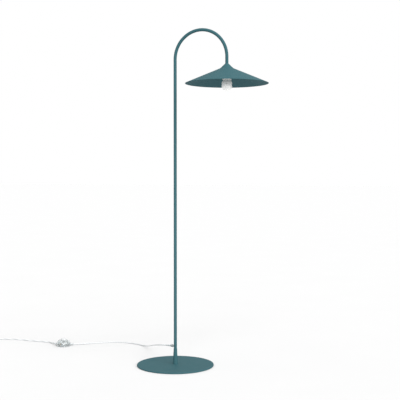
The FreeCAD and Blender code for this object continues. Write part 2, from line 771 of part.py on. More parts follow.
def switch_base():
    """Round bottom plate with counterbored screw holes and two posts for each cord clamp."""
    plate = cylinder(SWITCH_R - FREE, 0, SWITCH_BASE_THICKNESS)
    hole_r = SWITCH_SCREW_D / 2 + LOOSE
    head_r = SWITCH_SCREW_HEAD_D / 2 + LOOSE
    for x, y in screw_places():
        plate = plate.cut(cylinder(hole_r, -1, SWITCH_BASE_THICKNESS + 1, x, y))
        plate = plate.cut(cylinder(head_r, -1, SWITCH_BASE_THICKNESS / 2 + LOOSE, x, y))
    for entry in switch_entries():
        for side in (-CORD_D, CORD_D):
            post = cylinder(SWITCH_SCREW_D / 2, SWITCH_BASE_THICKNESS - 1, SWITCH_CORD_Z + CORD_R)
            post.translate(vector(ENTRY_DEPTH + CORD_R, side, 0))
            post.rotate(vector(0, 0, 0), vector(0, 0, 1), entry)
            plate = plate.fuse(post)
    return at_switch(plate.removeSplitter())


def dome(inset):
    """Solid under the cover's outline, moved in by an inset."""
    side_r = SWITCH_R - inset
    hole_r = BUTTON_D / 2
    side_top = vector(side_r, 0, SWITCH_SIDE_Z)
    brim = vector(hole_r, 0, SWITCH_SHOULDER_Z - inset)
    reach = side_top.x - brim.x
    rise = brim.z - side_top.z
    middle = vector(brim.x + reach * COVER_MIDDLE_REACH, 0, side_top.z + rise * COVER_MIDDLE_RISE)
    low = SWITCH_BASE_THICKNESS + FIT
    edges = [
        Part.LineSegment(vector(0, 0, low), vector(side_r, 0, low)).toShape(),
        Part.LineSegment(vector(side_r, 0, low), side_top).toShape(),
        Part.Arc(side_top, middle, brim).toShape(),
        Part.LineSegment(brim, vector(0, 0, brim.z)).toShape(),
        Part.LineSegment(vector(0, 0, brim.z), vector(0, 0, low)).toShape(),
    ]
    return turned(edges)


def switch_cover():
    """Clear domed cover with a hole for the button, two cord entries and three screw posts."""
    outside = dome(0)
    cover = outside.cut(dome(SWITCH_WALL))
    low = SWITCH_BASE_THICKNESS + FIT
    for x, y in screw_places():
        post = cylinder(SWITCH_POST_D / 2, low, SWITCH_HEIGHT, x, y).common(outside)
        pilot = cylinder(SWITCH_SCREW_D / 2 + FIT, low - 1, SWITCH_SCREW_TOP_Z + 1, x, y)
        cover = cover.fuse(post).cut(pilot)
    cover = cover.cut(cylinder(BUTTON_D / 2 + FREE, 0, SWITCH_HEIGHT))
    for entry in switch_entries():
        hole = laid(cylinder(RELIEF_ROOT_D / 2 + LOOSE, 0, SWITCH_R), SWITCH_R / 2, entry, SWITCH_CORD_Z)
        cover = cover.cut(hole)
    return at_switch(cover.removeSplitter())


def switch_screws():
    screws = []
    head_top = SWITCH_BASE_THICKNESS / 2
    for x, y in screw_places():
        head = cylinder(SWITCH_SCREW_HEAD_D / 2, FREE, head_top, x, y)
        screws.append(head.fuse(cylinder(SWITCH_SCREW_D / 2, head_top, SWITCH_SCREW_TOP_Z, x, y)))
    return at_switch(Part.makeCompound(screws))


def switch_strain_reliefs():
    """Two tapered sleeves on the cords, with a collar against the cover."""
    sleeves = []
    root_length = SWITCH_R - ENTRY_DEPTH - CORD_D
    taper_r = RELIEF_COLLAR_D / 2 - FREE
    for entry in switch_entries():
        root = cylinder(RELIEF_ROOT_D / 2, 0, root_length + 1)
        collar = cylinder(RELIEF_COLLAR_D / 2, root_length + LOOSE, root_length + SWITCH_WALL)
        taper_low = root_length + SWITCH_WALL
        taper = Part.makeCone(taper_r, RELIEF_TIP_D / 2, RELIEF_REACH - SWITCH_WALL, vector(0, 0, taper_low))
        bore = cylinder(CORD_R + FREE, -1, SWITCH_R)
        sleeve = root.fuse(collar).fuse(taper).cut(bore)
        sleeves.append(laid(sleeve, ENTRY_DEPTH + CORD_D, entry, SWITCH_CORD_Z))
    return at_switch(Part.makeCompound(sleeves))


def switch_cord_clamps():
    """Two bars that press the cords down on the base."""
    bars = []
    low = SWITCH_CORD_Z + CORD_R + FIT
    half = CORD_D + SWITCH_SCREW_D / 2
    for entry in switch_entries():
        bar = block(vector(ENTRY_DEPTH + SWITCH_SCREW_D / 2, -half, low),
                    vector(ENTRY_DEPTH + CORD_D - SWITCH_SCREW_D / 2, half, low + SWITCH_WALL))
        bar.rotate(vector(0, 0, 0), vector(0, 0, 1), entry)
        bars.append(bar)
    return at_switch(Part.makeCompound(bars))


def switch_module():
    """Round contact module with a well for the button's stem."""
    body = cylinder(MODULE_D / 2, SWITCH_BASE_THICKNESS, MODULE_TOP_Z)
    well = cylinder(BUTTON_STEM_D / 2 + FREE, MODULE_WELL_Z, MODULE_TOP_Z + 1)
    return at_switch(body.cut(well))


def switch_terminals():
    """One brass terminal block in front of each cord end."""
    blocks = []
    for entry in switch_entries():
        near = MODULE_D / 2 + CORD_R / 2
        body = block(vector(near, -TERMINAL_SIZE, SWITCH_BASE_THICKNESS),
                     vector(near + TERMINAL_SIZE, TERMINAL_SIZE, SWITCH_CORD_Z + CORD_R))
        body.rotate(vector(0, 0, 0), vector(0, 0, 1), entry)
        blocks.append(body)
    return at_switch(Part.makeCompound(blocks))


def switch_wires():
    """Two bare cores from each cord end into its terminal."""
    wires = []
    start = MODULE_D / 2 + CORD_R / 2 + TERMINAL_SIZE
    for entry in switch_entries():
        for side in (-CORD_R / 2, CORD_R / 2):
            inner_end = vector(start, side, SWITCH_CORD_Z)
            wire = rod(CORE_WIRE_D / 2, inner_end, vector(ENTRY_DEPTH, side, SWITCH_CORD_Z))
            wire.rotate(vector(0, 0, 0), vector(0, 0, 1), entry)
            wires.append(wire)
    return at_switch(Part.makeCompound(wires))


def switch_button():
    """Domed push button: a cup with a flange that keeps it in the cover and a stem in the middle."""
    outer = BUTTON_D / 2
    inner = outer - BUTTON_WALL
    flange_low = BUTTON_FLANGE_TOP_Z - BUTTON_FLANGE_THICKNESS
    ceiling = SWITCH_HEIGHT - 2 * BUTTON_WALL
    brim_z = SWITCH_HEIGHT - BUTTON_CROWN
    crown_r = (inner ** 2 + BUTTON_CROWN ** 2) / (2 * BUTTON_CROWN)
    crown_middle = vector(inner / 2, 0, SWITCH_HEIGHT - crown_r + math.sqrt(crown_r ** 2 - inner ** 2 / 4))
    top = vector(0, 0, SWITCH_HEIGHT)
    corners = [
        top,
        vector(0, 0, BUTTON_STEM_LOW_Z),
        vector(BUTTON_STEM_D / 2, 0, BUTTON_STEM_LOW_Z),
        vector(BUTTON_STEM_D / 2, 0, ceiling),
        vector(inner, 0, ceiling),
        vector(inner, 0, flange_low),
        vector(BUTTON_FLANGE_D / 2, 0, flange_low),
        vector(BUTTON_FLANGE_D / 2, 0, BUTTON_FLANGE_TOP_Z),
        vector(outer, 0, BUTTON_FLANGE_TOP_Z),
        vector(outer, 0, ceiling),
        vector(inner, 0, brim_z),
    ]
    edges = Part.makePolygon(corners).Edges
    edges.append(Part.Arc(corners[-1], crown_middle, top).toShape())
    return at_switch(turned(edges))


def switch_spring():
    """Return spring round the stem, as the plain sleeve that it fills."""
    inner = BUTTON_STEM_D / 2 + FREE
    high = SWITCH_HEIGHT - 2 * BUTTON_WALL - FIT
    return at_switch(ring(inner + SPRING_WIRE, inner, MODULE_TOP_Z + FIT, high))


# Free cord, coil and plug --------------------------------------------------------------------------

def entry_point(entry, distance):
    """Point on a cord entry's axis, at a distance from the switch's middle."""
    angle = math.radians(entry)
    x = SWITCH_X + distance * math.cos(angle)
    y = SWITCH_Y + distance * math.sin(angle)
    return vector(x, y, SWITCH_CORD_Z)


def at_coil(x, y, z):
    """Point given in the coil's own turned frame."""
    place = FreeCAD.Placement(vector(COIL_X, COIL_Y, 0), FreeCAD.Rotation(vector(0, 0, 1), COIL_TURN))
    return place.multVec(vector(x, y, z))


def put_at_coil(shape):
    """Shape made in the coil's own frame, put in its place."""
    shape.rotate(vector(0, 0, 0), vector(0, 0, 1), COIL_TURN)
    shape.translate(vector(COIL_X, COIL_Y, 0))
    return shape


def cord_lamp():
    """Cord from the cord grip, sagging back to the floor and round to the foot switch."""
    points = [
        vector(GLAND_SPLIT_X, 0, GLAND_Z),
        vector(-60, 0, GLAND_Z),
        vector(-98, 30, 79),
        vector(-140, 79, 66),
        vector(-180, 136, 51),
        vector(-215, 193, 36),
        vector(-250, 248, 21.5),
        vector(-288, 292, 9),
        vector(-331, 324, CORD_R),
        vector(-381, 346, CORD_R),
        vector(-437, 357, CORD_R),
        vector(-497, 344, CORD_R),
        vector(-549, 312, CORD_R),
        vector(-594, 268, CORD_R),
        entry_point(ENTRY_TO_LAMP, ENTRY_RUN),
        entry_point(ENTRY_TO_LAMP, ENTRY_DEPTH),
    ]
    return cord_tube("cord_lamp", points)


def cord_wall():
    """Cord from the foot switch along the floor to the coil."""
    low_z = COIL_LIFT + CORD_R
    points = [
        entry_point(ENTRY_TO_WALL, ENTRY_DEPTH),
        entry_point(ENTRY_TO_WALL, ENTRY_RUN),
        vector(-795, 207, CORD_R),
        vector(-853, 209, CORD_R),
        vector(-919, 204, CORD_R),
        vector(-989, 207, CORD_R),
        vector(-1052, 193, CORD_R),
        vector(-1094, 172, low_z),
        at_coil(TAIL_START, COIL_OUTER_TURN_R, low_z),
    ]
    return cord_tube("cord_wall", points)


def cord_coil():
    """The put-away length, as the ring that its turns fill."""
    coil = ring(COIL_MID_R + COIL_HALF_WIDTH, COIL_MID_R - COIL_HALF_WIDTH, COIL_LIFT, COIL_TOP_Z)
    coil = coil.makeFillet(COIL_ROUND, coil.Edges)
    return put_at_coil(coil)


def coil_tie():
    """Band round the coil's turns."""
    half = TIE_WIDTH / 2
    outer_r = COIL_MID_R + COIL_HALF_WIDTH + LOOSE
    inner_r = math.sqrt((COIL_MID_R - COIL_HALF_WIDTH) ** 2 - half ** 2) - LOOSE
    hole_top = vector(TIE_WIDTH, -inner_r, COIL_TOP_Z + LOOSE)
    hole = block(vector(-TIE_WIDTH, -outer_r, TIE_THICKNESS), hole_top)
    band = block(vector(-half, -outer_r - TIE_THICKNESS, 0),
                 vector(half, -inner_r + TIE_THICKNESS, COIL_TOP_Z + LOOSE + TIE_THICKNESS))
    return put_at_coil(band.cut(hole))


def cord_tail():
    """Cord from the coil's top turn into the plug."""
    rear = PLUG_TIP_Y - PLUG_RELIEF_LENGTH
    points = [
        at_coil(-COIL_OUTER_TURN_R, -TAIL_START, COIL_TOP_Z - CORD_R),
        at_coil(-COIL_OUTER_TURN_R, PLUG_TIP_Y + 2 * CORD_R + COIL_HALF_WIDTH / 2, PLUG_HEIGHT / 2),
        at_coil(-COIL_OUTER_TURN_R, rear, PLUG_HEIGHT / 2),
    ]
    return cord_tube("cord_tail", points)


def plug_body():
    """Flat two-pin plug body, wide at the pins and narrow at the cord."""
    rear = PLUG_TIP_Y - PLUG_RELIEF_LENGTH
    front = rear - PLUG_LENGTH
    shoulder = rear - PLUG_SHOULDER
    centre = -COIL_OUTER_TURN_R
    half_rear = PLUG_REAR_WIDTH / 2
    half_front = PLUG_WIDTH / 2
    corners = [
        vector(centre - half_rear, rear, 0),
        vector(centre + half_rear, rear, 0),
        vector(centre + half_front, shoulder, 0),
        vector(centre + half_front, front, 0),
        vector(centre - half_front, front, 0),
        vector(centre - half_front, shoulder, 0),
        vector(centre - half_rear, rear, 0),
    ]
    body = Part.Face(Part.makePolygon(corners)).extrude(vector(0, 0, PLUG_HEIGHT))
    body = body.makeFillet(PLUG_EDGE, body.Edges)
    for side in (-PIN_SPACING / 2, PIN_SPACING / 2):
        body = body.cut(pin_rod(side, PIN_ROOT_D / 2 + FIT, front - 1, front + PIN_ROOT))
    return put_at_coil(body)


def pin_rod(side, radius, low_y, high_y):
    """Bar on a pin's axis, in the coil's own frame."""
    x = side - COIL_OUTER_TURN_R
    return rod(radius, vector(x, low_y, PLUG_HEIGHT / 2), vector(x, high_y, PLUG_HEIGHT / 2))


def plug_pins():
    front = PLUG_TIP_Y - PLUG_RELIEF_LENGTH - PLUG_LENGTH
    pins = []
    for side in (-PIN_SPACING / 2, PIN_SPACING / 2):
        root = pin_rod(side, PIN_ROOT_D / 2, front, front + PIN_ROOT - FIT)
        pins.append(pin_rod(side, PIN_D / 2, front - PIN_LENGTH, front).fuse(root))
    return put_at_coil(Part.makeCompound(pins))


def plug_strain_relief():
    """Tapered sleeve between the plug and the cord."""
    taper = Part.makeCone(CORD_R * 2, CORD_R + 2 * FREE, PLUG_RELIEF_LENGTH)
    taper = taper.cut(cylinder(CORD_R + FREE, -1, PLUG_RELIEF_LENGTH + 1))
    taper.rotate(vector(0, 0, 0), vector(1, 0, 0), -90)
    taper.translate(vector(-COIL_OUTER_TURN_R, PLUG_TIP_Y - PLUG_RELIEF_LENGTH, PLUG_HEIGHT / 2))
    return put_at_coil(taper)


SUB_PARTS = [
    floor_pad, base_plate, base_screw, foot_cone, stem_lower_tube,
    swivel_sleeve, swivel_washer, cable_gland, gland_nut, gland_sleeve, lower_inner_cable,
    arm_tube, swivel_stop_screw, upper_inner_cable, arm_end_bush, threaded_nipple,
    shade, shade_spacer, shade_nut,
    holder_cap, holder_shell, holder_core, holder_thread_sleeve, holder_centre_contact,
    holder_terminals, holder_terminal_screws, cable_cores,
    bulb_tip, bulb_insulator, bulb_screw_cap, bulb_collar, bulb_globe,
    bulb_led_board, bulb_leds, bulb_driver,
    switch_base, switch_cover, switch_screws, switch_strain_reliefs, switch_cord_clamps, switch_module,
    switch_terminals, switch_wires, switch_button, switch_spring,
    cord_lamp, cord_wall, cord_coil, coil_tie, cord_tail, plug_body, plug_pins, plug_strain_relief,
]

os.makedirs("parts", exist_ok=True)
for sub_part in SUB_PARTS:
    shape = sub_part()
    shape.exportStep("parts/" + sub_part.__name__ + ".step")
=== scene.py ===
import math

import bmesh
import bpy
import numpy as np
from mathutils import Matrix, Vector


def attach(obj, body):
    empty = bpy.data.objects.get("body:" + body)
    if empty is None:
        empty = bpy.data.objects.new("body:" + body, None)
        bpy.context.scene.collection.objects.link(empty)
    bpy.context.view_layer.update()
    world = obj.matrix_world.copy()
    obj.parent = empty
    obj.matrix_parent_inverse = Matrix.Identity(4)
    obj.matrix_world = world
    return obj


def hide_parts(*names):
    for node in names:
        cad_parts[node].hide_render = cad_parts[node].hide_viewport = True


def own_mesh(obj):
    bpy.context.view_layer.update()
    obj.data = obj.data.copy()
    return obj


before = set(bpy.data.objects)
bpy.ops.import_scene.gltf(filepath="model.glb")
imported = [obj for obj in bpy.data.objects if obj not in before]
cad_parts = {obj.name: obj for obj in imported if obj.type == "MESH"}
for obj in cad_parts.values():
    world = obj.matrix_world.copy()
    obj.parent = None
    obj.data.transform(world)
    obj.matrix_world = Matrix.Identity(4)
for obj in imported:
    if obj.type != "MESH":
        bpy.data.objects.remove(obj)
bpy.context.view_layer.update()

MM = 0.001
TAU = 2 * math.pi

# Places and sizes of the lamp, in millimetres, shared by several pieces.
ARM_X = 247.0
PLATE_R = 172.0
PLATE_LOW = 1.0
PLATE_TOP = 6.0
GLAND_Z = 88.0
GLAND_NUT_X = -14.0
CORD_D = 5.5
CORD_R = CORD_D / 2
SHADE_TOP = 1339.1
HOLDER_TOP = 1330.8
HOLDER_SEAM = 1304.1
HOLDER_LOW = 1267.6
HOLDER_R = 19.5
CAP_LOW = 1269.6
CAP_TOP = 1289.1
BEAD_TOP = 1293.6
THREAD_PITCH = 3.629
THREAD_DEPTH = 0.95
GLOBE_Z = 1243.1
GLOBE_R = 22.5
GLOBE_TOP = 1252.1
SWITCH_AT = (-695.0, 168.0)
SWITCH_HIGH = 39.0
SWITCH_CORD_Z = 7.0
TO_LAMP = 38.0
TO_WALL = 173.0
COIL_AT = (-1131.5, 116.0)
COIL_TURN = 23.1
TAIL_X = -32.75
PLUG_Z = 6.85
PLUG_REAR = -72.0
PLUG_FRONT = -109.0


# Camera and cords ---------------------------------------------------------------------------------

SENSOR_WIDTH = 36.0
LENS_LENGTH = 75.34
EYE_AT = (1.5721, -3.3994, 0.8560)
HEADING = (-0.39274, 0.91965, -0.0299)


def camera():
    """Long lens at about hip height, tipped down by less than two degrees. Places are in metres."""
    data = bpy.data.cameras.new("camera")
    data.sensor_width = SENSOR_WIDTH
    data.lens = LENS_LENGTH
    eye = bpy.data.objects.new("camera", data)
    eye.location = EYE_AT
    eye.rotation_euler = Vector(HEADING).to_track_quat("-Z", "Y").to_euler()
    bpy.context.scene.collection.objects.link(eye)
    bpy.context.scene.camera = eye


camera()


def by_switch(bearing, distance):
    """Point in metres on a cord entry's axis: the switch's middle plus the distance along the bearing."""
    angle = math.radians(bearing)
    x = SWITCH_AT[0] + distance * math.cos(angle)
    y = SWITCH_AT[1] + distance * math.sin(angle)
    return (x * MM, y * MM, SWITCH_CORD_Z * MM)


def by_coil(points):
    """Points in metres from millimetres in the coil's own frame: turned about the upright, then moved to
    the coil's middle."""
    x, y, z = np.moveaxis(np.asarray(points, float), -1, 0)
    turn = math.radians(COIL_TURN)
    east = COIL_AT[0] + x * math.cos(turn) - y * math.sin(turn)
    north = COIL_AT[1] + x * math.sin(turn) + y * math.cos(turn)
    return np.stack([east, north, z], axis=-1) * MM


def eased(value, start, end):
    """Smooth step: 0 before start, 1 after end, and t*t*(3 - 2*t) between."""
    t = np.clip((value - start) / (end - start), 0.0, 1.0)
    return t * t * (3 - 2 * t)


def coil_turns():
    """Four and a quarter turns in two layers: the radius steps in, the height steps up and the radius steps
    out again, each over a sixth of a turn as a function of the angle, so that no turn lies in another. The
    points stand out from the turns by as much as a line of the third order cuts inside them."""
    per_turn = 16
    outer, inner = 32.75, 27.25
    low, high = 3.75, 9.45
    crossing = 60.0
    start = 90
    first, second, third = start + 360, start + 720, start + 1080
    count = round(4.25 * per_turn)
    angle = start + np.arange(1, count) * 360 / per_turn
    inward = eased(angle, first - crossing, first)
    upward = eased(angle, second - 2 * crossing, second - crossing)
    outward = eased(angle, third - 3 * crossing, third - 2 * crossing)
    hug = 1 / (0.75 + 0.25 * math.cos(TAU / per_turn))
    radius = (outer + (inner - outer) * (inward - outward)) * hug
    height = low + (high - low) * upward
    turn = np.radians(angle)
    points = by_coil(np.stack([radius * np.cos(turn), radius * np.sin(turn), height], axis=-1))
    return [tuple(point) for point in points]


def flex(name, route):
    """Round flex: a smooth line of the third order drawn by the route's points, with a round section. The
    section is a metre deep times each point's radius, which also keeps the curve's box tight."""
    curve = bpy.data.curves.new(name, "CURVE")
    curve.dimensions = "3D"
    curve.resolution_u = 10
    curve.bevel_depth = 1.0
    curve.bevel_resolution = 5
    curve.use_fill_caps = True
    line = curve.splines.new("NURBS")
    line.points.add(len(route) - 1)
    line.points.foreach_set("co", np.array([(*point, 1.0) for point in route], np.float32).ravel())
    line.points.foreach_set("radius", [CORD_R * MM] * len(route))
    line.order_u = 3
    line.use_endpoint_u = True
    piece = bpy.data.objects.new(name, curve)
    bpy.context.scene.collection.objects.link(piece)
    return piece


LAMP_ROUTE = [
    (-0.014, 0.000, 0.088),
    (-0.060, 0.000, 0.088),
    (-0.098, 0.030, 0.079),
    (-0.140, 0.079, 0.066),
    (-0.180, 0.136, 0.051),
    (-0.215, 0.193, 0.036),
    (-0.250, 0.248, 0.0215),
    (-0.288, 0.292, 0.009),
    (-0.331, 0.324, 0.00275),
    (-0.381, 0.346, 0.00275),
    (-0.437, 0.357, 0.00275),
    (-0.497, 0.344, 0.00275),
    (-0.549, 0.312, 0.00275),
    (-0.594, 0.268, 0.00275),
    by_switch(TO_LAMP, 64),
    by_switch(TO_LAMP, 22),
]
WALL_ROUTE = [
    by_switch(TO_WALL, 22),
    by_switch(TO_WALL, 64),
    (-0.795, 0.207, 0.00275),
    (-0.853, 0.209, 0.00275),
    (-0.919, 0.204, 0.00275),
    (-0.989, 0.207, 0.00275),
    (-1.052, 0.193, 0.00275),
    (-1.094, 0.172, 0.00375),
    tuple(by_coil((20.0, 32.75, 3.75))),
    *coil_turns(),
    tuple(by_coil((TAIL_X, 0.0, 9.45))),
    tuple(by_coil((TAIL_X, -20.0, 9.45))),
    tuple(by_coil((TAIL_X, -37.65, PLUG_Z))),
    tuple(by_coil((TAIL_X, PLUG_REAR, PLUG_Z))),
]

lamp_flex = flex("lamp_flex", LAMP_ROUTE)
wall_flex = flex("wall_flex", WALL_ROUTE)


# Surfaces -----------------------------------------------------------------------------------------

def softened(corners, reach, loop=True):
    """Outline with each corner rounded by a quadratic curve that starts and ends at the reach from it, which
    is at most 0.4 of the shorter run. One more point a quarter of the reach further out on each side keeps
    the flats flat."""
    corners = np.asarray(corners, float)
    before = np.roll(corners, 1, axis=0)
    after = np.roll(corners, -1, axis=0)
    run_in = np.linalg.norm(corners - before, axis=1)[:, None]
    run_out = np.linalg.norm(after - corners, axis=1)[:, None]
    inward = (corners - before) / run_in
    outward = (after - corners) / run_out
    reach = np.broadcast_to(np.asarray(reach, float).reshape(-1, 1), run_in.shape)
    reach = np.minimum(reach, 0.4 * np.minimum(run_in, run_out))
    start = corners - inward * reach
    end = corners + outward * reach
    t = np.linspace(0, 1, 5)[:, None, None]
    curve = (1 - t) ** 2 * start + 2 * t * (1 - t) * corners + t ** 2 * end
    rows = np.concatenate([(start - inward * reach / 4)[None], curve, (end + outward * reach / 4)[None]])
    points = np.swapaxes(rows, 0, 1)
    if loop:
        return points.reshape(-1, 2)
    return np.vstack([corners[:1], points[1:-1].reshape(-1, 2), corners[-1:]])


def turned(profile, segments=128):
    """Surface of revolution about the upright: radius times the cosine and sine of the angle, and the height,
    for each (radius, height) of the profile."""
    radius, height = np.asarray(profile, float).T
    angle = np.arange(segments) * TAU / segments
    x = radius[:, None] * np.cos(angle)
    y = radius[:, None] * np.sin(angle)
    return np.stack([x, y, np.broadcast_to(height[:, None], x.shape)], axis=-1)


def moved(grid, x=0.0, y=0.0, z=0.0):
    """Grid with the same step added to every point."""
    return grid + np.array([x, y, z])


def laid(grid, start, bearing):
    """Surface made about the upright, laid down: its height runs level along the bearing, from the start."""
    angle = math.radians(bearing)
    along = np.array([math.cos(angle), math.sin(angle), 0.0])
    across = np.array([-math.sin(angle), math.cos(angle), 0.0])
    up = np.array([0.0, 0.0, 1.0])
    return np.array(start) + grid[..., :1] * across + grid[..., 1:2] * up + grid[..., 2:] * along


def carried(path, radius, around=16):
    """Round section carried along a path: at each point, the radius times the cosine and sine of the angle
    in the plane across the path, and no radius at the two ends, which closes them."""
    along = np.gradient(path, axis=0)
    along /= np.linalg.norm(along, axis=1)[:, None]
    side = np.cross(along, (0.0, 0.0, 1.0))
    side /= np.linalg.norm(side, axis=1)[:, None]
    rise = np.cross(side, along)
    angle = (np.arange(around) * TAU / around)[None, :, None]
    ring = np.cos(angle) * side[:, None] + np.sin(angle) * rise[:, None]
    thick = np.full(len(path), radius)
    tube = path[:, None] + ring * thick[:, None, None]
    caps = np.broadcast_to(path[[0, -1], None], (2, around, 3))
    return np.concatenate([caps[:1], tube, caps[1:]])


def skin(name, grids, body, stands_for=(), loop=True, in_metres=False):
    """One piece from grids of points in millimetres: four-sided faces between neighbours, columns joined
    round, rows joined round where the outline is a loop; poles merged and faces turned outwards."""
    shell = bmesh.new()
    for grid in grids:
        rows, columns = grid.shape[:2]
        index = np.arange(rows * columns).reshape(rows, columns)
        if loop:
            index = np.vstack([index, index[:1]])
        right = np.roll(index, -1, axis=1)
        quads = np.stack([index[:-1], right[:-1], right[1:], index[1:]], axis=-1).reshape(-1, 4)
        part = bpy.data.meshes.new(name + "_part")
        part.from_pydata((grid.reshape(-1, 3) * (1.0 if in_metres else MM)).tolist(), [], quads.tolist())
        shell.from_mesh(part)
        bpy.data.meshes.remove(part)
    bmesh.ops.remove_doubles(shell, verts=shell.verts, dist=2e-7)
    bmesh.ops.recalc_face_normals(shell, faces=shell.faces)
    mesh = bpy.data.meshes.new(name)
    shell.to_mesh(mesh)
    shell.free()
    mesh.shade_smooth()
    mesh.set_sharp_from_angle(angle=math.radians(38))
    piece = bpy.data.objects.new(name, mesh)
    bpy.context.scene.collection.objects.link(piece)
    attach(piece, body)
    if stands_for:
        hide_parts(*stands_for)
    return piece


# Base and shade -----------------------------------------------------------------------------------

def base_plate_outline():
    """Disc with a rounded rim, a screw hole and its countersink below."""
    corners = [
        (4.1, PLATE_TOP),
        (PLATE_R, PLATE_TOP),
        (PLATE_R, PLATE_LOW),
        (8.0, PLATE_LOW),
        (4.1, 4.9),
    ]
    return softened(corners, (0.2, 1.2, 0.7, 0.2, 0.2))


def shade_outline():
    """Spun sheet one millimetre thick: flat top, steep crown, soft kink, shallow cone, rounded rim."""
    corners = [
        (5.1, SHADE_TOP),
        (7.3, SHADE_TOP),
        (29.3, SHADE_TOP - 20.8),
        (181.9, SHADE_TOP - 85.3),
        (181.51, SHADE_TOP - 86.22),
        (28.79, SHADE_TOP - 21.68),
        (6.91, SHADE_TOP - 1.0),
        (5.1, SHADE_TOP - 1.0),
    ]
    return softened(corners, (0.1, 0.7, 3.6, 0.42, 0.42, 3.6, 0.4, 0.1))


def shade_grid():
    """The shade's outline turned, with rings at most 12 mm apart along the cone."""
    ring_gap = 12.0
    outline = shade_outline()
    ahead = np.roll(outline, -1, axis=0)
    parts = np.maximum(1, np.ceil(np.linalg.norm(ahead - outline, axis=1) / ring_gap)).astype(int)
    start = np.repeat(outline, parts, axis=0)
    step = np.repeat((ahead - outline) / parts[:, None], parts, axis=0)
    rank = np.arange(len(start)) - np.repeat(np.cumsum(parts) - parts, parts)
    return moved(turned(start + step * rank[:, None], 256), ARM_X)


round_base = skin("round_base", [turned(base_plate_outline(), 256)], "stand",
                  ["base_plate"])
cone_shade = skin("cone_shade", [shade_grid()], "arm", ["shade"])


# Lamp holder --------------------------------------------------------------------------------------

def holder_cap_outline():
    """Domed cap with a neck, and a bead where it meets the skirt."""
    corners = [
        (5.05, HOLDER_TOP),
        (8.0, HOLDER_TOP),
        (8.0, HOLDER_TOP - 8.0),
        (14.6, HOLDER_TOP - 10.2),
        (19.0, HOLDER_TOP - 15.4),
        (HOLDER_R, HOLDER_TOP - 18.0),
        (HOLDER_R, HOLDER_SEAM + 0.25),
        (HOLDER_R - 0.5, HOLDER_SEAM),
        (17.9, HOLDER_SEAM),
        (17.9, HOLDER_TOP - 18.6),
        (13.6, HOLDER_TOP - 12.4),
        (8.0, HOLDER_TOP - 9.6),
        (5.05, HOLDER_TOP - 9.6),
    ]
    return softened(corners, (0.3, 0.6, 1.4, 2.4, 1.4, 0.6, 0.1, 0.1, 0.1, 0.6, 1.0, 0.4, 0.1))


def holder_skirt(ribs=36):
    """Skirt of the holder: a turned outline whose radius dips between grip ribs over a band below the seam,
    by the depth times the squared raised cosine of the angle, eased out at the band's two ends."""
    rib_depth = 0.35
    corners = [
        (17.9, HOLDER_SEAM),
        (HOLDER_R - 0.5, HOLDER_SEAM),
        (HOLDER_R, HOLDER_SEAM - 0.4),
        (HOLDER_R, HOLDER_SEAM - 3.0),
        (HOLDER_R, HOLDER_SEAM - 4.0),
        (HOLDER_R, HOLDER_SEAM - 11.0),
        (HOLDER_R, HOLDER_SEAM - 18.0),
        (HOLDER_R, HOLDER_SEAM - 19.0),
        (HOLDER_R, HOLDER_LOW + 1.6),
        (HOLDER_R - 1.6, HOLDER_LOW),
        (16.3, HOLDER_LOW),
        (16.3, HOLDER_LOW + 1.6),
        (17.9, HOLDER_LOW + 1.6),
    ]
    grid = turned(softened(corners, 0.3), 8 * ribs)
    radius = np.hypot(grid[..., 0], grid[..., 1])
    height = grid[..., 2]
    angle = np.arctan2(grid[..., 1], grid[..., 0])
    banded = eased(height, HOLDER_SEAM - 19.0, HOLDER_SEAM - 18.0)
    banded = banded * (1 - eased(height, HOLDER_SEAM - 4.0, HOLDER_SEAM - 3.0))
    outside = (radius > HOLDER_R - 0.05)
    dip = rib_depth * banded * outside * (0.5 - 0.5 * np.cos(ribs * angle)) ** 2
    grid[..., :2] *= (1 - dip / radius)[..., None]
    return moved(grid, ARM_X)


def thread_wave(grid):
    """Rounded screw thread: half of one minus the cosine of the height over the pitch less the share of a
    turn, which is the same all along a right-handed screw's travel."""
    share = np.arctan2(grid[..., 1], grid[..., 0]) / TAU
    return 0.5 - 0.5 * np.cos(TAU * (grid[..., 2] / THREAD_PITCH - share))


def rolled_thread(profile, weight):
    """Turned shell whose radius dips by the thread's depth times its wave and a weight by height."""
    grid = turned(profile, 120)
    radius = np.maximum(np.hypot(grid[..., 0], grid[..., 1]), 1.0)
    dip = THREAD_DEPTH * thread_wave(grid) * weight(grid[..., 2])
    grid[..., :2] *= (1 - dip / radius)[..., None]
    return moved(grid, ARM_X)


def both_walls(outer, inner, heights):
    """Closed outline from an outer wall going up and an inner wall coming down."""
    up = np.column_stack([outer(heights), heights])
    down = np.column_stack([inner(heights), heights])[::-1]
    return np.vstack([up, down])


def holder_thread():
    """Brass sleeve rolled with the bulb's thread, 0.15 mm further out than it, and plain at both ends."""
    low, high = 1273.2, 1297.0
    outer_r, inner_r = 13.75, 13.25
    heights = np.linspace(low, high, 84)
    outline = both_walls(lambda z: 0 * z + outer_r, lambda z: 0 * z + inner_r, heights)
    return rolled_thread(outline, lambda z: eased(z, low, low + 2.2) * (1 - eased(z, high - 3.0, high)))


holder_dome = skin("holder_dome", [moved(turned(holder_cap_outline()), ARM_X)], "arm",
                   ["holder_cap"])
ribbed_skirt = skin("ribbed_skirt", [holder_skirt()], "arm", ["holder_shell"])
brass_thread = skin("brass_thread", [holder_thread()], "arm", ["holder_thread_sleeve"])


# Bulb ---------------------------------------------------------------------------------------------

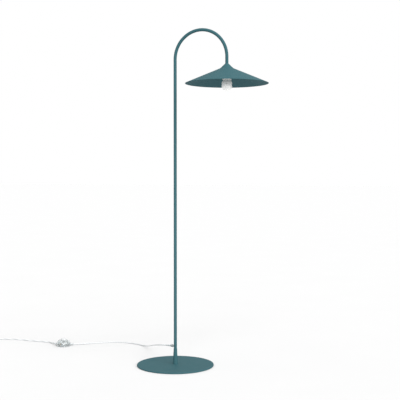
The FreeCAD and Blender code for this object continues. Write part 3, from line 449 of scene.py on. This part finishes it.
def opal_globe():
    """Half sphere below a short straight wall, with an inner wall: the radius times the cosine and sine of
    the latitude from the lowest point up, the straight wall, then back down inside."""
    wall_thickness = 1.2
    latitude = np.linspace(-math.pi / 2, 0, 41)
    inner_r = GLOBE_R - wall_thickness
    outside = np.column_stack([GLOBE_R * np.cos(latitude), GLOBE_Z + GLOBE_R * np.sin(latitude)])
    inside = np.column_stack([inner_r * np.cos(latitude), GLOBE_Z + inner_r * np.sin(latitude)])[::-1]
    wall = [(GLOBE_R, GLOBE_Z + 3), (GLOBE_R, GLOBE_TOP - 0.4), (GLOBE_R - 0.15, GLOBE_TOP - 0.1),
            (GLOBE_R - 0.4, GLOBE_TOP), (inner_r, GLOBE_TOP), (inner_r, GLOBE_Z + 3)]
    outline = np.vstack([outside, wall, inside])
    outline[[0, -1], 0] = 0.0
    return moved(turned(outline, 128), ARM_X)


def bulb_neck_outline():
    """White housing: it narrows in a soft curve from the dome to a shoulder under the holder, with a neck
    and a spigot up into the cap."""
    shoulder = HOLDER_LOW - 0.8
    corners = [
        (22.1, GLOBE_TOP),
        (22.45, GLOBE_TOP + 0.4),
        (22.4, GLOBE_TOP + 5.0),
        (18.5, shoulder),
        (14.0, shoulder),
        (14.0, CAP_LOW),
        (12.65, CAP_LOW),
        (12.65, CAP_LOW + 6.0),
        (11.25, CAP_LOW + 6.0),
        (11.25, shoulder - 1.4),
        (17.1, shoulder - 1.4),
        (21.05, GLOBE_TOP + 4.3),
        (21.05, GLOBE_TOP),
    ]
    return softened(corners, (0.1, 0.1, 3.6, 1.2, 0.4, 0.3, 0.1, 0.1, 0.1, 0.2, 0.6, 2.0, 0.1))


def bulb_cap():
    """Nickelled shell: plain at its foot, threaded above, drawn in at its shoulder."""
    body_r, draw_in, sheet = 13.1, 2.1, 0.35
    shoulder = 1287.0
    heights = np.concatenate([np.linspace(CAP_LOW, shoulder, 70), np.linspace(shoulder + 0.3, CAP_TOP, 6)])

    def wall(z):
        """Outer radius at a height."""
        return body_r - draw_in * eased(z, shoulder - 0.6, CAP_TOP)

    def threaded(z):
        """How deep the thread is at a height, from 0 to 1."""
        return eased(z, CAP_LOW + 1.2, CAP_LOW + 3.0) * (1 - eased(z, shoulder - 1.0, shoulder + 1.0))

    return rolled_thread(both_walls(wall, lambda z: wall(z) - sheet, heights), threaded)


def insulator_outline():
    """Black glass bead between the shell and the tip, its flank slightly hollow."""
    corners = [
        (0.0, CAP_TOP),
        (10.9, CAP_TOP),
        (10.6, CAP_TOP + 0.8),
        (7.4, CAP_TOP + 2.5),
        (5.0, BEAD_TOP),
        (0.0, BEAD_TOP),
    ]
    return softened(corners, (0.1, 0.3, 0.3, 1.0, 0.2, 0.1), loop=False)


def solder_tip_outline():
    """Domed contact of the bulb, a hair above the glass bead, which turns under it."""
    low = BEAD_TOP + 0.02
    corners = [
        (0.0, low),
        (4.8, low),
        (4.8, BEAD_TOP + 1.0),
        (3.1, BEAD_TOP + 1.9),
        (0.0, BEAD_TOP + 2.0),
    ]
    return softened(corners, (0.1, 0.2, 0.5, 0.8, 0.1), loop=False)


globe = skin("opal_globe", [opal_globe()], "bulb", ["bulb_globe"], loop=False)
neck = skin("bulb_neck", [moved(turned(bulb_neck_outline()), ARM_X)], "bulb",
            ["bulb_collar"])
threaded_cap = skin("threaded_cap", [bulb_cap()], "bulb", ["bulb_screw_cap"])
glass_bead = skin("glass_bead", [moved(turned(insulator_outline()), ARM_X)], "bulb",
                  ["bulb_insulator"], loop=False)
solder_tip = skin("solder_tip", [moved(turned(solder_tip_outline(), 64), ARM_X)], "bulb_travel",
                  ["bulb_tip"], loop=False)


# Cord grip ----------------------------------------------------------------------------------------

def ribbed_sleeve(root_r, tip_r, length, ribs, root_length=0.0, bore_r=CORD_R + 0.12):
    """Soft tapered sleeve about the upright: the radius falls evenly from root to tip, and dips between
    ribs as a raised cosine of the height."""
    height = np.linspace(root_length + 0.4, length, 12 * ribs + 1)
    share = (height - root_length) / (length - root_length)
    dip = 0.45 * (0.5 - 0.5 * np.cos(TAU * ribs * share)) ** 2 * eased(share, 0.0, 0.08)
    radius = root_r + (tip_r - root_r) * share - dip * (1 - 0.4 * share)
    outside = np.column_stack([radius, height])
    rounding = np.array([(tip_r - 0.15, length + 0.35), (tip_r - 0.5, length + 0.5)])
    ends = np.array([(bore_r, length + 0.5), (bore_r, 0.0), (root_r, 0.0), (root_r, root_length)])
    return turned(np.vstack([outside, rounding, ends]), 64)


def six_sided_nut(flats, length, hole_r):
    """Nut about the upright: the radius is half the width over flats divided by the cosine of the angle from
    the nearest flat's middle, held within a cone that rounds its front corners."""
    height = np.array([0.0, 0.0, 0.5, 0.9, 2.0, 3.5, 5.0, 6.0, 6.7, 7.2, 7.6, length, length])
    angle = np.arange(96) * TAU / 96
    from_flat = (angle + math.pi / 6) % (math.pi / 3) - math.pi / 6
    hexagon = flats / 2 / np.cos(from_flat)
    cone = flats * 0.565 - 0.42 * np.maximum(height - 4.6, 0) - 0.5 * np.maximum(0.6 - height, 0)
    radius = np.minimum(hexagon[None], cone[:, None])
    radius[0] = hole_r
    radius[-1] = hole_r
    x = radius * np.cos(angle)
    y = radius * np.sin(angle)
    return np.stack([x, y, np.broadcast_to(height[:, None], x.shape)], axis=-1)


grip_nut = skin("grip_nut", [laid(six_sided_nut(11.0, 8.0, 4.55), (GLAND_NUT_X, 0, GLAND_Z), 180)],
                "stand", ["gland_nut"])
grip_sleeve = skin("grip_sleeve",
                   [laid(ribbed_sleeve(4.5, 3.5, 27.5, 6, 8.6), (GLAND_NUT_X, 0, GLAND_Z), 180)],
                   "stand", ["gland_sleeve"])


# Foot switch --------------------------------------------------------------------------------------

def button_outline():
    """Domed cap of the push button with its flange below and its stem in the middle."""
    corners = [
        (0.0, SWITCH_HIGH),
        (4.0, SWITCH_HIGH - 0.15),
        (8.0, SWITCH_HIGH - 0.6),
        (11.3, SWITCH_HIGH - 1.3),
        (13.0, SWITCH_HIGH - 2.8),
        (13.0, SWITCH_HIGH - 10.5),
        (15.0, SWITCH_HIGH - 10.5),
        (15.0, SWITCH_HIGH - 12.3),
        (11.5, SWITCH_HIGH - 12.3),
        (11.5, SWITCH_HIGH - 3.0),
        (3.5, SWITCH_HIGH - 3.0),
        (3.5, 14.5),
        (0.0, 14.5),
    ]
    return softened(corners, (0, 1.5, 1.5, 1.3, 1.3, 0.2, 0.3, 0.3, 0.3, 0.5, 0.5, 0.4, 0), loop=False)


def spring_path():
    """Helix of ten turns whose first and last lie closed: the angle grows evenly, and the height rises by
    the wire's thickness over each end turn and by the rest over the turns between."""
    turns = 10
    radius, wire = 4.3, 1.0
    low, open_height = 14.4, SWITCH_HIGH - 20.0
    end_share = 1 / turns
    t = np.linspace(0, 1, 330)
    climb = np.clip((t - end_share) / (1 - 2 * end_share), 0, 1)
    closed = np.minimum(t / end_share, 1) + np.maximum((t - 1 + end_share) / end_share, 0)
    height = low + wire * closed + open_height * climb
    turn = turns * TAU * t
    return np.column_stack([radius * np.cos(turn), radius * np.sin(turn), height])


def cord_end_sleeves():
    """The two ribbed sleeves beside the switch, each with a collar against its cover."""
    start, collar_end = 27.5, 8.4
    corners = [
        (2.95, 0.0),
        (3.6, 0.0),
        (3.6, 6.6),
        (4.8, 6.6),
        (4.8, collar_end),
        (2.95, collar_end),
    ]
    root = turned(softened(corners, 0.2), 64)
    taper = moved(ribbed_sleeve(4.4, 3.75, 14.0, 4), z=collar_end)
    sleeves = []
    for bearing in (TO_LAMP, TO_WALL):
        centre = np.array(by_switch(bearing, start)) / MM
        sleeves += [laid(root, centre, bearing), laid(taper, centre, bearing)]
    return sleeves


push_button = skin("push_button", [moved(turned(button_outline()), *SWITCH_AT)], "foot_button",
                   ["switch_button"], loop=False)
spring = skin("return_spring", [moved(carried(spring_path(), 0.5), *SWITCH_AT)], "stand",
              ["switch_spring"], loop=False)
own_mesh(spring)
end_sleeves = skin("cord_end_sleeves", cord_end_sleeves(), "stand",
                   ["switch_strain_reliefs"])


# Plug and tie -------------------------------------------------------------------------------------

def by_plug(across, upward, along):
    """Points in metres from millimetres about the plug's axis, along the coil's own second axis."""
    return by_coil(np.stack([TAIL_X + across, along, PLUG_Z + upward], axis=-1))


def moulded_plug():
    """Body of the plug about its own axis: at each station, a squared ellipse whose half width and half
    height grow smoothly from the cord to the face, with shallow grip grooves in its sides."""
    length = PLUG_REAR - PLUG_FRONT
    station = np.concatenate([[0, 0, 0.3, 1.0], np.linspace(2, 35, 67), [36.0, 36.7, length, length]])
    rounding = np.interp(station, [0.0, 0.3, 1.0, 2.0, 35.0, 36.0, 36.7, length],
                         [0.86, 0.93, 0.98, 1.0, 1.0, 0.985, 0.955, 0.92])
    groove_gap = 3.0
    groove = 0.5 - 0.5 * np.cos(TAU * (station - 4.0) / groove_gap)
    grip = eased(station, 4.0, 5.0) * (1 - eased(station, 18.0, 19.0)) * groove ** 2
    half_width = (7.2 + 10.2 * eased(station, 3.0, 26.0) - 0.6 * grip) * rounding
    half_height = (5.7 + 1.1 * eased(station, 0.0, 14.0)) * rounding
    half_width[[0, -1]] = 0.0
    half_height[[0, -1]] = 0.0
    angle = np.arange(96) * TAU / 96
    squareness = 0.62
    across = np.sign(np.cos(angle)) * np.abs(np.cos(angle)) ** squareness
    upward = np.sign(np.sin(angle)) * np.abs(np.sin(angle)) ** squareness
    x = half_width[:, None] * across
    z = half_height[:, None] * upward
    return by_plug(x, z, np.broadcast_to((PLUG_REAR - station)[:, None], x.shape))


def towards_wall(profile, side):
    """Turned outline laid along a pin's axis, its height running from the plug's face away from the cord."""
    grid = turned(profile, 48)
    return by_plug(side + grid[..., 0], grid[..., 1], PLUG_FRONT - grid[..., 2])


def plug_pin_outline():
    """Round pin with a domed tip."""
    tip = np.linspace(0, math.pi / 2, 9)
    dome = np.column_stack([2.0 - 1.4 * (1 - np.cos(tip)), 17.6 + 1.4 * np.sin(tip)])
    return np.vstack([[(0.0, 9.6), (2.0, 9.6), (2.0, 10.2), (2.0, 17.0)], dome, [(0.0, 19.0)]])


def pin_sleeve_outline():
    """Insulated root of a pin."""
    return softened([(0.0, -6.0), (1.55, -6.0), (1.55, 0.0), (1.92, 0.0), (1.92, 10.0), (0.0, 10.0)],
                    (0, 0.1, 0.1, 0.1, 0.15, 0), loop=False)


def plug_tail_sleeve():
    """Ribbed sleeve from the plug back over the cord."""
    grid = ribbed_sleeve(5.4, 3.5, 25.6, 6)
    return by_plug(grid[..., 0], grid[..., 1], PLUG_REAR + grid[..., 2])


def coil_strap():
    """Soft strap round the turns: a rounded oblong loop in the plane across them, where each point of the
    flat section lies between the loop's outer and inner line by its share of the thickness."""
    inner = softened([(-35.85, 0.9), (-23.6, 0.9), (-23.6, 12.3), (-35.85, 12.3)], 2.0)
    outer = softened([(-36.55, 0.1), (-22.9, 0.1), (-22.9, 13.0), (-36.55, 13.0)], 2.6)
    across = np.array([-5.0, -4.8, -4.0, 4.0, 4.8, 5.0, 5.0, 4.8, 4.0, -4.0, -4.8, -5.0])
    share = np.array([0.7, 0.95, 1.0, 1.0, 0.95, 0.7, 0.3, 0.05, 0.0, 0.0, 0.05, 0.3])
    line = inner[:, None] * (1 - share)[None, :, None] + outer[:, None] * share[None, :, None]
    x = np.broadcast_to(across[None], line.shape[:2])
    return by_coil(np.stack([x, line[..., 0], line[..., 1]], axis=-1))


pins = (-9.3, 9.3)
plug = skin("mains_plug", [moulded_plug()], "stand", ["plug_body"], loop=False,
            in_metres=True)
plug_tail = skin("plug_tail_sleeve", [plug_tail_sleeve()], "stand",
                 ["plug_strain_relief"], in_metres=True)
plug_pins = skin("plug_pins_bright", [towards_wall(plug_pin_outline(), side) for side in pins], "stand",
                 ["plug_pins"], loop=False, in_metres=True)
pin_sleeves = skin("plug_pin_sleeves", [towards_wall(pin_sleeve_outline(), side) for side in pins], "stand",
                   loop=False, in_metres=True)
strap = skin("coil_strap", [coil_strap()], "stand", ["coil_tie"], in_metres=True)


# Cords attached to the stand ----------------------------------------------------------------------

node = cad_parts
for piece, hidden in ((lamp_flex, ["cord_lamp"]), (wall_flex, ["cord_wall", "cord_coil", "cord_tail"])):
    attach(piece, "stand")
    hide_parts(*hidden)


# Materials ----------------------------------------------------------------------------------------

def linear(hex_colour):
    """Linear red, green, blue and full alpha of an sRGB hex colour."""
    channels = [int(hex_colour[i:i + 2], 16) / 255 for i in (0, 2, 4)]
    return (*[c / 12.92 if c <= 0.04045 else ((c + 0.055) / 1.055) ** 2.4 for c in channels], 1.0)


def add(tree, kind, settings=None, links=None):
    """Adds a node: settings are its properties or its sockets' values, links feed its sockets."""
    made = tree.nodes.new(kind)
    for key, value in (settings or {}).items():
        if isinstance(key, str) and hasattr(made, key):
            setattr(made, key, value)
        else:
            made.inputs[key].default_value = value
    for key, source in (links or {}).items():
        tree.links.new(source, made.inputs[key])
    return made


def new_finish(name, hex_colour, roughness, metallic=0.0, coordinates="Object", **sockets):
    """Principled material with its even values on the shader's own sockets, and the place that its patterns
    are laid by."""
    finish = bpy.data.materials.new(name)
    finish.use_nodes = True
    shader = finish.node_tree.nodes["Principled BSDF"]
    values = {"Base Color": linear(hex_colour), "Roughness": roughness, "Metallic": metallic}
    values.update({key.replace("_", " "): value for key, value in sockets.items()})
    for key, value in values.items():
        shader.inputs[key].default_value = value
    place = add(finish.node_tree, "ShaderNodeTexCoord").outputs[coordinates]
    return finish, finish.node_tree, shader, place


def mixed(tree, shader, share, first, second):
    """Base colour between two hex colours, by a share from 0 to 1."""
    mix = add(tree, "ShaderNodeMix", {"data_type": "RGBA", 6: linear(first), 7: linear(second)}, {0: share})
    tree.links.new(mix.outputs[2], shader.inputs["Base Color"])


def blotched(tree, shader, place, size_mm, dark, light, detail=2.0):
    """Base colour that drifts between two hex colours over patches of a real size."""
    settings = {"Scale": 1 / (size_mm * MM), "Detail": detail}
    cloud = add(tree, "ShaderNodeTexNoise", settings, {"Vector": place})
    mixed(tree, shader, cloud.outputs["Fac"], dark, light)
    return cloud


def grained(tree, shader, height, depth_mm, strength):
    """Bump of a real depth from a pattern's height."""
    bump = add(tree, "ShaderNodeBump", {"Distance": depth_mm * MM, "Strength": strength}, {"Height": height})
    tree.links.new(bump.outputs["Normal"], shader.inputs["Normal"])


def roughness_range(tree, shader, factor, low, high):
    """Roughness that follows a factor between two values."""
    spread = add(tree, "ShaderNodeMapRange", {"To Min": low, "To Max": high}, {"Value": factor})
    tree.links.new(spread.outputs["Result"], shader.inputs["Roughness"])


def powder_coat():
    """Polyester powder baked on steel. The melt leaves a matt skin with soft pebbles about 0.8 mm across and
    hardly any change of colour. The pebbles are drawn 1.5 mm across so that they show."""
    finish, tree, shader, place = new_finish("teal_polyester_powder_coat", "305359", 0.7,
                                             Specular_IOR_Level=0.1)
    cloud = blotched(tree, shader, place, 60.0, "2F5258", "32555B")
    pebbles = add(tree, "ShaderNodeTexNoise", {"Scale": 1 / (1.5 * MM), "Detail": 1.5}, {"Vector": place})
    roughness_range(tree, shader, cloud.outputs["Fac"], 0.64, 0.76)
    grained(tree, shader, pebbles.outputs["Fac"], 0.02, 0.25)
    return finish


def pressed_felt():
    """Wool felt disc: matt, near black, with short fibres lying every way, drawn as tufts 0.6 mm across."""
    finish, tree, shader, place = new_finish("black_pressed_felt", "1B1B1B", 0.95, Specular_IOR_Level=0.2)
    fibres = blotched(tree, shader, place, 0.6, "121212", "2E2E2D", 4.0)
    grained(tree, shader, fibres.outputs["Fac"], 0.3, 0.8)
    return finish


def bright_zinc():
    """Zinc plated steel: cool grey metal with a slightly clouded shine."""
    finish, tree, shader, place = new_finish("bright_zinc_plate", "B4B6B4", 0.32, 1.0)
    cloud = blotched(tree, shader, place, 3.0, "A6A9A8", "BEBFBC")
    roughness_range(tree, shader, cloud.outputs["Fac"], 0.25, 0.42)
    return finish


def screw_thread_zinc():
    """Zinc plated thread: ridges one pitch apart that ring the part, drawn as a wave along its height."""
    pitch_mm = 1.0
    finish, tree, shader, place = new_finish("zinc_plated_thread", "AFB1AF", 0.35, 1.0)
    height = add(tree, "ShaderNodeSeparateXYZ", links={0: place}).outputs["Z"]
    phase = add(tree, "ShaderNodeMath", {"operation": "MULTIPLY", 1: TAU / (pitch_mm * MM)}, {0: height})
    ridge = add(tree, "ShaderNodeMath", {"operation": "SINE"}, {0: phase.outputs[0]})
    grained(tree, shader, ridge.outputs[0], 0.25, 0.8)
    return finish


def nickel_plate():
    """Nickel on drawn brass: warm bright metal with faint rubbed clouds."""
    finish, tree, shader, place = new_finish("nickel_plated_brass", "C9C4BA", 0.24, 1.0)
    cloud = blotched(tree, shader, place, 4.0, "BDB8AE", "D2CEC5")
    roughness_range(tree, shader, cloud.outputs["Fac"], 0.2, 0.34)
    return finish


def drawn_brass():
    """Bare drawn brass: yellow metal, a little dulled in patches."""
    finish, tree, shader, place = new_finish("bare_drawn_brass", "C8A55A", 0.3, 1.0)
    cloud = blotched(tree, shader, place, 4.0, "B08E4A", "D2B068")
    roughness_range(tree, shader, cloud.outputs["Fac"], 0.24, 0.42)
    return finish


def tinned_copper():
    """Fine tinned copper strands: bright tin over copper, drawn as specks half a millimetre across."""
    finish, tree, shader, place = new_finish("tinned_copper_strands", "C9B3A0", 0.3, 1.0)
    strands = blotched(tree, shader, place, 0.5, "A8876F", "D8CFC6", 3.0)
    grained(tree, shader, strands.outputs["Fac"], 0.1, 0.6)
    return finish


def black_phenolic():
    """Compression moulded phenolic: near black, slightly clouded, with a soft, even shine."""
    finish, tree, shader, place = new_finish("black_moulded_phenolic", "17171A", 0.32, IOR=1.6)
    cloud = blotched(tree, shader, place, 2.5, "131316", "1F1E1F")
    roughness_range(tree, shader, cloud.outputs["Fac"], 0.26, 0.38)
    grained(tree, shader, cloud.outputs["Fac"], 0.02, 0.3)
    return finish


def clear_polycarbonate():
    """Injection moulded polycarbonate: clear with a faint cool cast and slow flow waves in its surface."""
    finish, tree, shader, place = new_finish("clear_moulded_polycarbonate", "EDF1F2", 0.12,
                                             IOR=1.58, Transmission_Weight=0.9)
    waves = blotched(tree, shader, place, 9.0, "E6ECED", "F4F7F7")
    roughness_range(tree, shader, waves.outputs["Fac"], 0.08, 0.16)
    grained(tree, shader, waves.outputs["Fac"], 0.05, 0.3)
    return finish


def soft_clear_pvc():
    """Soft clear PVC sleeve: hazy, slightly grey, waxy rather than glassy."""
    finish, tree, shader, place = new_finish("hazy_clear_pvc", "D9DEDF", 0.3, IOR=1.53,
                                             Transmission_Weight=0.55)
    haze = blotched(tree, shader, place, 2.0, "D0D6D8", "E2E6E7")
    roughness_range(tree, shader, haze.outputs["Fac"], 0.26, 0.4)
    grained(tree, shader, haze.outputs["Fac"], 0.03, 0.4)
    return finish


def clear_flex(name, length_m):
    """Clear PVC flex: two tinned cores laid up with one turn every 28 mm show through the jacket as silver
    bands that wind along it, between strips of milky plastic. The place runs along and round the flex."""
    lay_mm = 28
    finish, tree, shader, place = new_finish(name, "D5D8D9", 0.25, coordinates="UV", IOR=1.53,
                                             Specular_IOR_Level=0.5)
    parts = add(tree, "ShaderNodeSeparateXYZ", links={0: place})
    turns = add(tree, "ShaderNodeMath", {"operation": "MULTIPLY", 1: length_m / (lay_mm * MM)},
                {0: parts.outputs["X"]})
    wound = add(tree, "ShaderNodeMath", {"operation": "SUBTRACT"},
                {0: parts.outputs["Y"], 1: turns.outputs[0]})
    phase = add(tree, "ShaderNodeMath", {"operation": "MULTIPLY", 1: 2 * TAU}, {0: wound.outputs[0]})
    band = add(tree, "ShaderNodeMath", {"operation": "SINE"}, {0: phase.outputs[0]})
    share = add(tree, "ShaderNodeMapRange", {"From Min": -0.5, "From Max": 0.6}, {"Value": band.outputs[0]})
    mixed(tree, shader, share.outputs["Result"], "CFD2D2", "A6AAAC")
    grained(tree, shader, share.outputs["Result"], 0.05, 0.2)
    return finish


def moulded_plastic(name, dark, light, roughness, **sockets):
    """Injection moulded ABS, PBT or nylon: even colour, a fine spark-eroded grain of about 0.4 mm and a soft
    low shine. The driver's board takes it too."""
    finish, tree, shader, place = new_finish(name, light, roughness, IOR=1.54, **sockets)
    cloud = blotched(tree, shader, place, 14.0, dark, light)
    grain = add(tree, "ShaderNodeTexNoise", {"Scale": 1 / (0.4 * MM), "Detail": 1.0}, {"Vector": place})
    roughness_range(tree, shader, cloud.outputs["Fac"], roughness - 0.04, roughness + 0.06)
    grained(tree, shader, grain.outputs["Fac"], 0.015, 0.4)
    return finish


def opal_polycarbonate():
    """Opal diffuser: milk-white polycarbonate, satin outside, that lets light in and scatters it."""
    finish, tree, shader, place = new_finish("opal_diffuser_polycarbonate", "F6F6F3", 0.36,
                                             IOR=1.5, Subsurface_Weight=0.2, Subsurface_Scale=0.002,
                                             Subsurface_Radius=(1.0, 1.0, 1.0))
    cloud = blotched(tree, shader, place, 12.0, "F2F2EF", "FAFAF8")
    roughness_range(tree, shader, cloud.outputs["Fac"], 0.32, 0.42)
    return finish


def black_glass():
    """Black glass cast into the cap: glossy, with a faint violet-brown depth and small ripples."""
    finish, tree, shader, place = new_finish("cast_black_glass", "0E0D12", 0.08, IOR=1.52)
    ripple = blotched(tree, shader, place, 1.6, "0B0A0F", "17141A")
    grained(tree, shader, ripple.outputs["Fac"], 0.08, 0.5)
    return finish


def white_board():
    """Aluminium-backed board under white solder mask, slightly mottled."""
    finish, tree, shader, place = new_finish("white_solder_mask", "E6EAE4", 0.4)
    cloud = blotched(tree, shader, place, 2.0, "DDE2DB", "EEF0EA")
    grained(tree, shader, cloud.outputs["Fac"], 0.02, 0.3)
    return finish


def phosphor_resin():
    """Yellow phosphor in clear resin over each chip, with a grain of 0.3 mm."""
    finish, tree, shader, place = new_finish("yellow_phosphor_resin", "E8C84C", 0.25, IOR=1.5)
    blotched(tree, shader, place, 0.3, "DDBB3C", "F2D765", 3.0)
    return finish


def two_core_insulation():
    """PVC insulation of the two cores: brown on one side of the lamp's middle plane and blue on the other."""
    finish, tree, shader, place = new_finish("brown_and_blue_core_pvc", "5A3A28", 0.4)
    side = add(tree, "ShaderNodeSeparateXYZ", links={0: place}).outputs["Y"]
    blue = add(tree, "ShaderNodeMath", {"operation": "GREATER_THAN", 1: 0.0}, {0: side})
    mixed(tree, shader, blue.outputs[0], "5E3B27", "2C6AA0")
    return finish


def brushed_strap():
    """Brushed nylon strap: off-white and matt, with a short nap drawn as tufts 0.8 mm across."""
    finish, tree, shader, place = new_finish("brushed_nylon_strap", "D2D2CF", 0.85, Specular_IOR_Level=0.3)
    nap = blotched(tree, shader, place, 0.8, "C4C4C0", "DCDCD9", 3.0)
    grained(tree, shader, nap.outputs["Fac"], 0.25, 0.8)
    return finish


def paper_floor():
    """Seamless studio paper: pale, matt, with hardly visible fibre clouds."""
    finish, tree, shader, place = new_finish("white_studio_paper", "CDCDCD", 0.9, Specular_IOR_Level=0.0)
    blotched(tree, shader, place, 400.0, "CCCCCC", "CECECE")
    return finish


TEAL = powder_coat()
ZINC = bright_zinc()
PVC = soft_clear_pvc()
CLEAR = clear_polycarbonate()
PHENOLIC = black_phenolic()
NICKEL = nickel_plate()
BRASS = drawn_brass()
WHITE_PLASTIC = moulded_plastic("white_moulded_pbt", "E0E0DD", "E8E8E6", 0.35)
GREY_PLASTIC = moulded_plastic("grey_moulded_abs", "8E9193", "9A9D9F", 0.4)
MILKY = moulded_plastic("milky_moulded_abs", "C6C9CA", "CFD2D2", 0.3, Transmission_Weight=0.2)
LAMP_FLEX = clear_flex("clear_pvc_flex_to_lamp", 0.896)
WALL_FLEX = clear_flex("clear_pvc_flex_to_wall", 1.30)

NODE_FINISHES = {
    "floor_pad": pressed_felt(),
    "base_screw": ZINC,
    "foot_cone": TEAL,
    "stem_lower_tube": TEAL,
    "arm_tube": TEAL,
    "swivel_sleeve": ZINC,
    "swivel_stop_screw": ZINC,
    "swivel_washer": moulded_plastic("tinted_nylon", "284549", "2C4A4F", 0.5),
    "cable_gland": CLEAR,
    "lower_inner_cable": PVC,
    "upper_inner_cable": PVC,
    "cable_cores": two_core_insulation(),
    "arm_end_bush": ZINC,
    "threaded_nipple": screw_thread_zinc(),
    "shade_spacer": ZINC,
    "shade_nut": ZINC,
    "holder_core": PHENOLIC,
    "holder_centre_contact": BRASS,
    "holder_terminals": BRASS,
    "holder_terminal_screws": ZINC,
    "bulb_led_board": white_board(),
    "bulb_leds": phosphor_resin(),
    "bulb_driver": moulded_plastic("green_driver_board", "2F5B3E", "3A6B49", 0.45),
    "switch_base": GREY_PLASTIC,
    "switch_cover": CLEAR,
    "switch_screws": ZINC,
    "switch_cord_clamps": GREY_PLASTIC,
    "switch_module": moulded_plastic("pale_grey_contact_block", "B4B7B8", "C0C3C4", 0.45),
    "switch_terminals": BRASS,
    "switch_wires": tinned_copper(),
}
PIECE_FINISHES = [
    (round_base, TEAL),
    (cone_shade, TEAL),
    (holder_dome, WHITE_PLASTIC),
    (ribbed_skirt, WHITE_PLASTIC),
    (brass_thread, BRASS),
    (globe, opal_polycarbonate()),
    (neck, WHITE_PLASTIC),
    (threaded_cap, NICKEL),
    (glass_bead, black_glass()),
    (solder_tip, NICKEL),
    (grip_nut, CLEAR),
    (grip_sleeve, PVC),
    (push_button, MILKY),
    (spring, ZINC),
    (end_sleeves, PVC),
    (plug, PVC),
    (plug_tail, PVC),
    (plug_pins, NICKEL),
    (pin_sleeves, PHENOLIC),
    (strap, brushed_strap()),
    (lamp_flex, LAMP_FLEX),
    (wall_flex, WALL_FLEX),
]

for name, finish in NODE_FINISHES.items():
    node[name].data.materials.clear()
    node[name].data.materials.append(finish)
for piece, finish in PIECE_FINISHES:
    piece.data.materials.append(finish)


# Floor and light ----------------------------------------------------------------------------------

def studio_floor(half_m=60.0):
    """Level square of paper just under the lamp."""
    mesh = bpy.data.meshes.new("studio_floor")
    z = -0.0002
    corners = [(-half_m, -half_m, z), (half_m, -half_m, z), (half_m, half_m, z), (-half_m, half_m, z)]
    mesh.from_pydata(corners, [], [(0, 1, 2, 3)])
    floor = bpy.data.objects.new("studio_floor", mesh)
    mesh.materials.append(paper_floor())
    bpy.context.scene.collection.objects.link(floor)


def studio_light():
    """White surroundings, and one very broad light from above and in front, to the right."""
    scene = bpy.context.scene
    scene.view_settings.view_transform = "Standard"
    world = bpy.data.worlds.new("white_studio")
    world.use_nodes = True
    background = world.node_tree.nodes["Background"]
    background.inputs["Color"].default_value = (1.0, 1.0, 1.0, 1.0)
    background.inputs["Strength"].default_value = 1.0
    scene.world = world
    data = bpy.data.lights.new("broad_light", "SUN")
    data.energy = 4.0
    data.angle = math.radians(70)
    lamp = bpy.data.objects.new("broad_light", data)
    lamp.rotation_euler = Vector((-1.35, 1.15, -1.0)).to_track_quat("-Z", "Y").to_euler()
    scene.collection.objects.link(lamp)


studio_floor()
studio_light()
